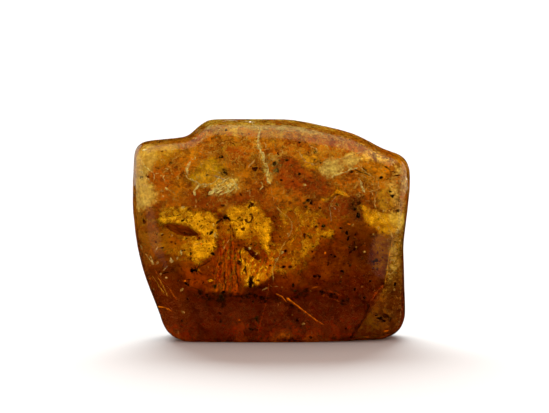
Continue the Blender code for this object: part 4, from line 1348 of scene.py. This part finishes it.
class AMBER_OT_flecks(Operator):
    """Scatter the specks of plant dust, grit and crumbs, and the painted glints"""

    bl_idname = "amber.flecks"
    bl_label = "Flecks"

    def execute(self, context):
        sight = Sight(bpy.data.objects["amber"], context.scene)
        chance = random.Random(SCATTER_SEED)
        for kind in FLECKS:
            rows = [Fleck(*row) for row in FLECKS[kind]]
            crumbs = [crumb for row in rows for crumb in self.placed(row, sight, chance)]
            crumbs += [self.scattered(sight, chance) for _ in range(SCATTER.get(kind, 0))]
            take(*crumbs)
            bpy.ops.object.transform_apply(location=True, rotation=True, scale=True)
            bpy.ops.object.join()
            piece = bpy.context.object
            lumps = bpy.data.textures.new(kind, "CLOUDS")
            lumps.noise_scale = LUMP_SIZE
            modify(piece, "DISPLACE", texture=lumps, strength=LUMP_HEIGHT, mid_level=LUMP_MIDDLE)
            finish = bpy.data.materials.get(kind) or line_finish(kind)
            dress(piece, kind + "_flecks", finish)
        return {"FINISHED"}

    def crumb(self, place, size, turn):
        """One uneven crumb, flattened front to back."""
        if "crumb" not in bpy.data.meshes:
            take()
            bpy.ops.mesh.primitive_ico_sphere_add(subdivisions=1, radius=0.5)
            start = bpy.context.object
            start.data.name = "crumb"
            bpy.data.objects.remove(start)
        crumb = new_object("crumb", bpy.data.meshes["crumb"].copy())
        crumb.location = place
        crumb.scale = size
        crumb.rotation_euler = turn
        return crumb

    def placed(self, row, sight, chance):
        """A crumb at its pixel, or for a large one the few that it has broken into."""
        turn = math.radians(row.turn)
        depth = chance.uniform(*FLECK_DEPTHS)
        count, share = 1, 1.0
        if row.long >= CLUMP_FROM:
            count, share = round(row.long), CRUMB_SHARE / math.sqrt(row.long)
        for _ in range(count):
            along, across = (
                chance.uniform(-CRUMB_SPREAD, CRUMB_SPREAD) * side * (1 - share)
                for side in (row.long, row.wide)
            )
            x = row.x + along * math.cos(turn) - across * math.sin(turn)
            y = row.y + along * math.sin(turn) + across * math.cos(turn)
            long = row.long * chance.uniform(0.8, 1.2) * share
            deep = min(row.long, row.wide) * FLATNESS * share
            size = Vector((long, deep, row.wide * share)) * PIXEL * CRUMB_ROUND
            lean = turn + (0 if count == 1 else chance.uniform(-0.5, 0.5))
            yield self.crumb(sight.under(x, y, depth * MM), size, (0, lean, 0))

    def scattered(self, sight, chance):
        """A small crumb anywhere in the block, more of them low down and to the front."""
        while True:
            place = Vector((
                chance.uniform(CAD_BOX[0].x, CAD_BOX[1].x),
                chance.triangular(CAD_BOX[0].y, CAD_BOX[1].y, CAD_BOX[0].y * 0.4),
                chance.triangular(CAD_BOX[0].z, CAD_BOX[1].z, CAD_BOX[1].z * 0.35),
            ))
            skin, normal, _, far = sight.skin.find_nearest(place)
            if (place - skin).dot(normal) < 0 and far > SCATTER_INSET:
                break
        size = [
            chance.uniform(*SCATTER_SIZES) * chance.choice(SCATTER_STRETCH) * PIXEL for _ in range(3)
        ]
        turn = [chance.uniform(0, math.pi) for _ in range(3)]
        return self.crumb(place, size, turn)


# The sealed pieces: light and dark colour, size of the mottling in millimetres, how far
# it is drawn out, its turn in the plane of the picture, and how rough the piece is
Husk = namedtuple("Husk", "light dark grain stretch turn roughness")
HUSKS = {
    "ant": Husk((26, 13, 7), (6, 4, 3), 0.2, 1.0, 0, 0.3),
    "gnat": Husk((185, 105, 24), (62, 27, 7), 0.35, 2.0, 40, 0.35),
    "beetle": Husk((140, 66, 14), (24, 8, 3), 0.26, 6.0, 40, 0.3),
    "leaf_fragment": Husk((175, 110, 50), (95, 50, 22), 0.4, 5.0, 14, 0.6),
    "curled_stalk": Husk((100, 45, 10), (40, 16, 4), 0.3, 2.0, 20, 0.5),
    "twig": Husk((70, 34, 14), (20, 9, 4), 0.25, 4.0, -32, 0.6),
    "bark_clump": Husk((60, 30, 14), (12, 7, 4), 0.2, 1.0, 0, 0.7),
    "frass_pellet": Husk((80, 36, 12), (22, 9, 4), 0.2, 1.0, 0, 0.7),
}
HUSK_BUMP = 0.03 * MM
HUSK_WEAR = 0.2  # how much rougher the worn parts are


class AMBER_OT_husks(Operator):
    """Give the sealed insects and plant scraps their skin and bark"""

    bl_idname = "amber.husks"
    bl_label = "Insects and plant scraps"

    def execute(self, context):
        for node, husk in HUSKS.items():
            mesh = frame["nodes"][node].data
            mesh.materials.clear()
            mesh.materials.append(self.finish(node, husk))
        return {"FINISHED"}

    def finish(self, name, husk):
        finish = Finish(name)
        turn = (0, math.radians(husk.turn), 0)
        place = finish.stretched(finish.place(), turn, (husk.stretch, 1, 1))
        mottle = finish.grain(place, husk.grain, 4.0, 0.65)
        return finish.surface(
            Base_Color=finish.mix(finish.fade(mottle, 0.38, 0.62), tone(*husk.dark), tone(*husk.light)),
            Roughness=finish.fade(mottle, 0.3, 0.7, husk.roughness, husk.roughness + HUSK_WEAR),
            Normal=finish.bump(mottle, HUSK_BUMP),
            Specular_IOR_Level=SEALED_SHINE,
        )


# Softboxes stand round the block, each over its span of azimuth and of rise in degrees
Softbox = namedtuple("Softbox", "name azimuth rise brightness colour")
SOFTBOXES = [
    Softbox("top_panel", (-46, 46), (56, 132), 0.35, (1.0, 0.99, 0.76)),
    Softbox("top_inner_panel", (-46, 46), (64, 122), 0.35, (1.0, 0.99, 0.76)),
    Softbox("top_core_panel", (-46, 46), (74, 112), 0.35, (1.0, 0.99, 0.76)),
    Softbox("left_panel", (-165, -88), (-3, 17), 0.4, (1.0, 0.98, 0.78)),
    Softbox("left_low_panel", (-88, -32), (-12, 1), 0.2, (1.0, 0.92, 0.8)),
    Softbox("right_panel", (98, 150), (-3, 22), 0.55, (1.0, 0.97, 0.66)),
    Softbox("right_low_panel", (14, 76), (-8, 4), 0.2, (1.0, 0.97, 0.8)),
]
SOFTBOX_DISTANCE = 0.8
FLOOR_RADIUS = 3.0
FLOOR_COLOUR, FLOOR_ROUGHNESS = (0.40, 0.365, 0.345), 0.9
OVERHEAD_RISE = 33.0  # how high the main light stands behind the block, in degrees
OVERHEAD_SPREAD = 45.0
OVERHEAD_TURN = 5.0
WARM_ROOM = (1.2, 1.0, 0.94)  # so the shade under the block is warm, as in the photo
COOL_SUN = (0.84, 1.0, 1.07)
BOUNCES = 16  # the light has to come through many layers
SHEER_BOUNCES = 48
NEAREST_SEEN = 0.01


class AMBER_OT_stage(Operator):
    """Set the pale floor, the soft light and the camera"""

    bl_idname = "amber.stage"
    bl_label = "Stage"

    def execute(self, context):
        look = context.scene.amber_look
        self.floor()
        self.room(context.scene, look)
        self.camera(context.scene, look)
        return {"FINISHED"}

    def floor(self):
        take()
        bpy.ops.mesh.primitive_circle_add(vertices=64, radius=FLOOR_RADIUS, fill_type="NGON")
        floor = bpy.context.object
        floor.name = "floor"
        finish = Finish("floor")
        finish.surface(Base_Color=FLOOR_COLOUR, Roughness=FLOOR_ROUGHNESS)
        floor.data.materials.append(finish.material)
        floor.visible_glossy = floor.visible_shadow = False
        floor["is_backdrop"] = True

    def room(self, scene, look):
        world = bpy.data.worlds.new("pale room")
        scene.world = world
        world.use_nodes = True
        background = world.node_tree.nodes["Background"].inputs
        background["Color"].default_value = (*WARM_ROOM, 1)
        background["Strength"].default_value = look.backdrop
        world.cycles_visibility.glossy = False
        sun = bpy.data.lights.new("overhead", "SUN")
        sun.energy = look.overhead
        sun.color = COOL_SUN
        sun.angle = math.radians(OVERHEAD_SPREAD)
        holder = self.light(sun)
        holder.rotation_euler = (-math.radians(90 - OVERHEAD_RISE), 0, math.radians(OVERHEAD_TURN))
        holder.visible_glossy = False
        for box in SOFTBOXES:
            self.softbox(box)

    def light(self, lamp):
        """A light in the scene, which doesn't show itself, not even through the resin."""
        holder = new_object(lamp.name, lamp)
        holder.visible_camera = holder.visible_transmission = False
        return holder

    def softbox(self, box):
        """A pale panel whose mirror image lies on the polish, seen from the block's middle."""
        azimuth, rise = (math.radians(sum(span) / 2) for span in (box.azimuth, box.rise))
        way = Vector((
            math.sin(azimuth) * math.cos(rise),
            -math.cos(azimuth) * math.cos(rise),
            math.sin(rise),
        ))
        light = bpy.data.lights.new(box.name, "AREA")
        light.shape = "RECTANGLE"
        light.size, light.size_y = (
            2 * SOFTBOX_DISTANCE * math.tan(math.radians((span[1] - span[0]) / 2))
            for span in (box.azimuth, box.rise)
        )
        light.color = box.colour
        light.energy = box.brightness * light.size * light.size_y * math.pi
        holder = self.light(light)
        holder.location = Vector((0, 0, CAD_BOX[1].z / 2)) + way * SOFTBOX_DISTANCE
        holder.rotation_euler = way.to_track_quat("Z", "Y").to_euler()
        holder.visible_diffuse = False

    def camera(self, scene, look):
        camera = bpy.data.cameras.new("camera")
        camera.lens = look.lens
        camera.sensor_width = look.sensor
        camera.clip_start = NEAREST_SEEN
        holder = new_object("camera", camera)
        holder.location = view_of(look)[0]
        holder.rotation_euler = (math.radians(90 - look.tilt), 0, 0)
        scene.camera = holder
        scene.view_settings.view_transform = "Standard"
        scene.cycles.transparent_max_bounces = SHEER_BOUNCES
        scene.cycles.max_bounces = scene.cycles.transmission_bounces = BOUNCES


class AMBER_PT_panel(Panel):
    """Lists the steps that build the amber, as buttons"""

    bl_idname = "AMBER_PT_panel"
    bl_label = "Insect in amber"
    bl_space_type = "VIEW_3D"
    bl_region_type = "UI"
    bl_category = "Amber"

    def draw(self, context):
        for step in STEPS:
            self.layout.operator(step.bl_idname)


STEPS = [
    AMBER_OT_block,
    AMBER_OT_layers,
    AMBER_OT_husks,
    AMBER_OT_threads,
    AMBER_OT_flecks,
    AMBER_OT_stage,
]
SETTINGS = {"amber_look": LookSettings, "amber_block": BlockSettings}


def register():
    for group in [*SETTINGS.values(), *STEPS, AMBER_PT_panel]:
        bpy.utils.register_class(group)
    for name, group in SETTINGS.items():
        setattr(bpy.types.Scene, name, PointerProperty(type=group))


def unregister():
    for name in SETTINGS:
        delattr(bpy.types.Scene, name)
    for group in [AMBER_PT_panel, *reversed(STEPS), *SETTINGS.values()]:
        bpy.utils.unregister_class(group)


def main():
    register()
    bpy.ops.amber.block()
    bpy.ops.amber.layers()
    bpy.ops.amber.husks()
    bpy.ops.amber.threads()
    bpy.ops.amber.flecks()
    bpy.ops.amber.stage()
    boxes = {"cad": CAD_BOX, "visual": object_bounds()}
    {name: [list(corner) for corner in box] for name, box in boxes.items()}


if __name__ == "__main__":
    main()
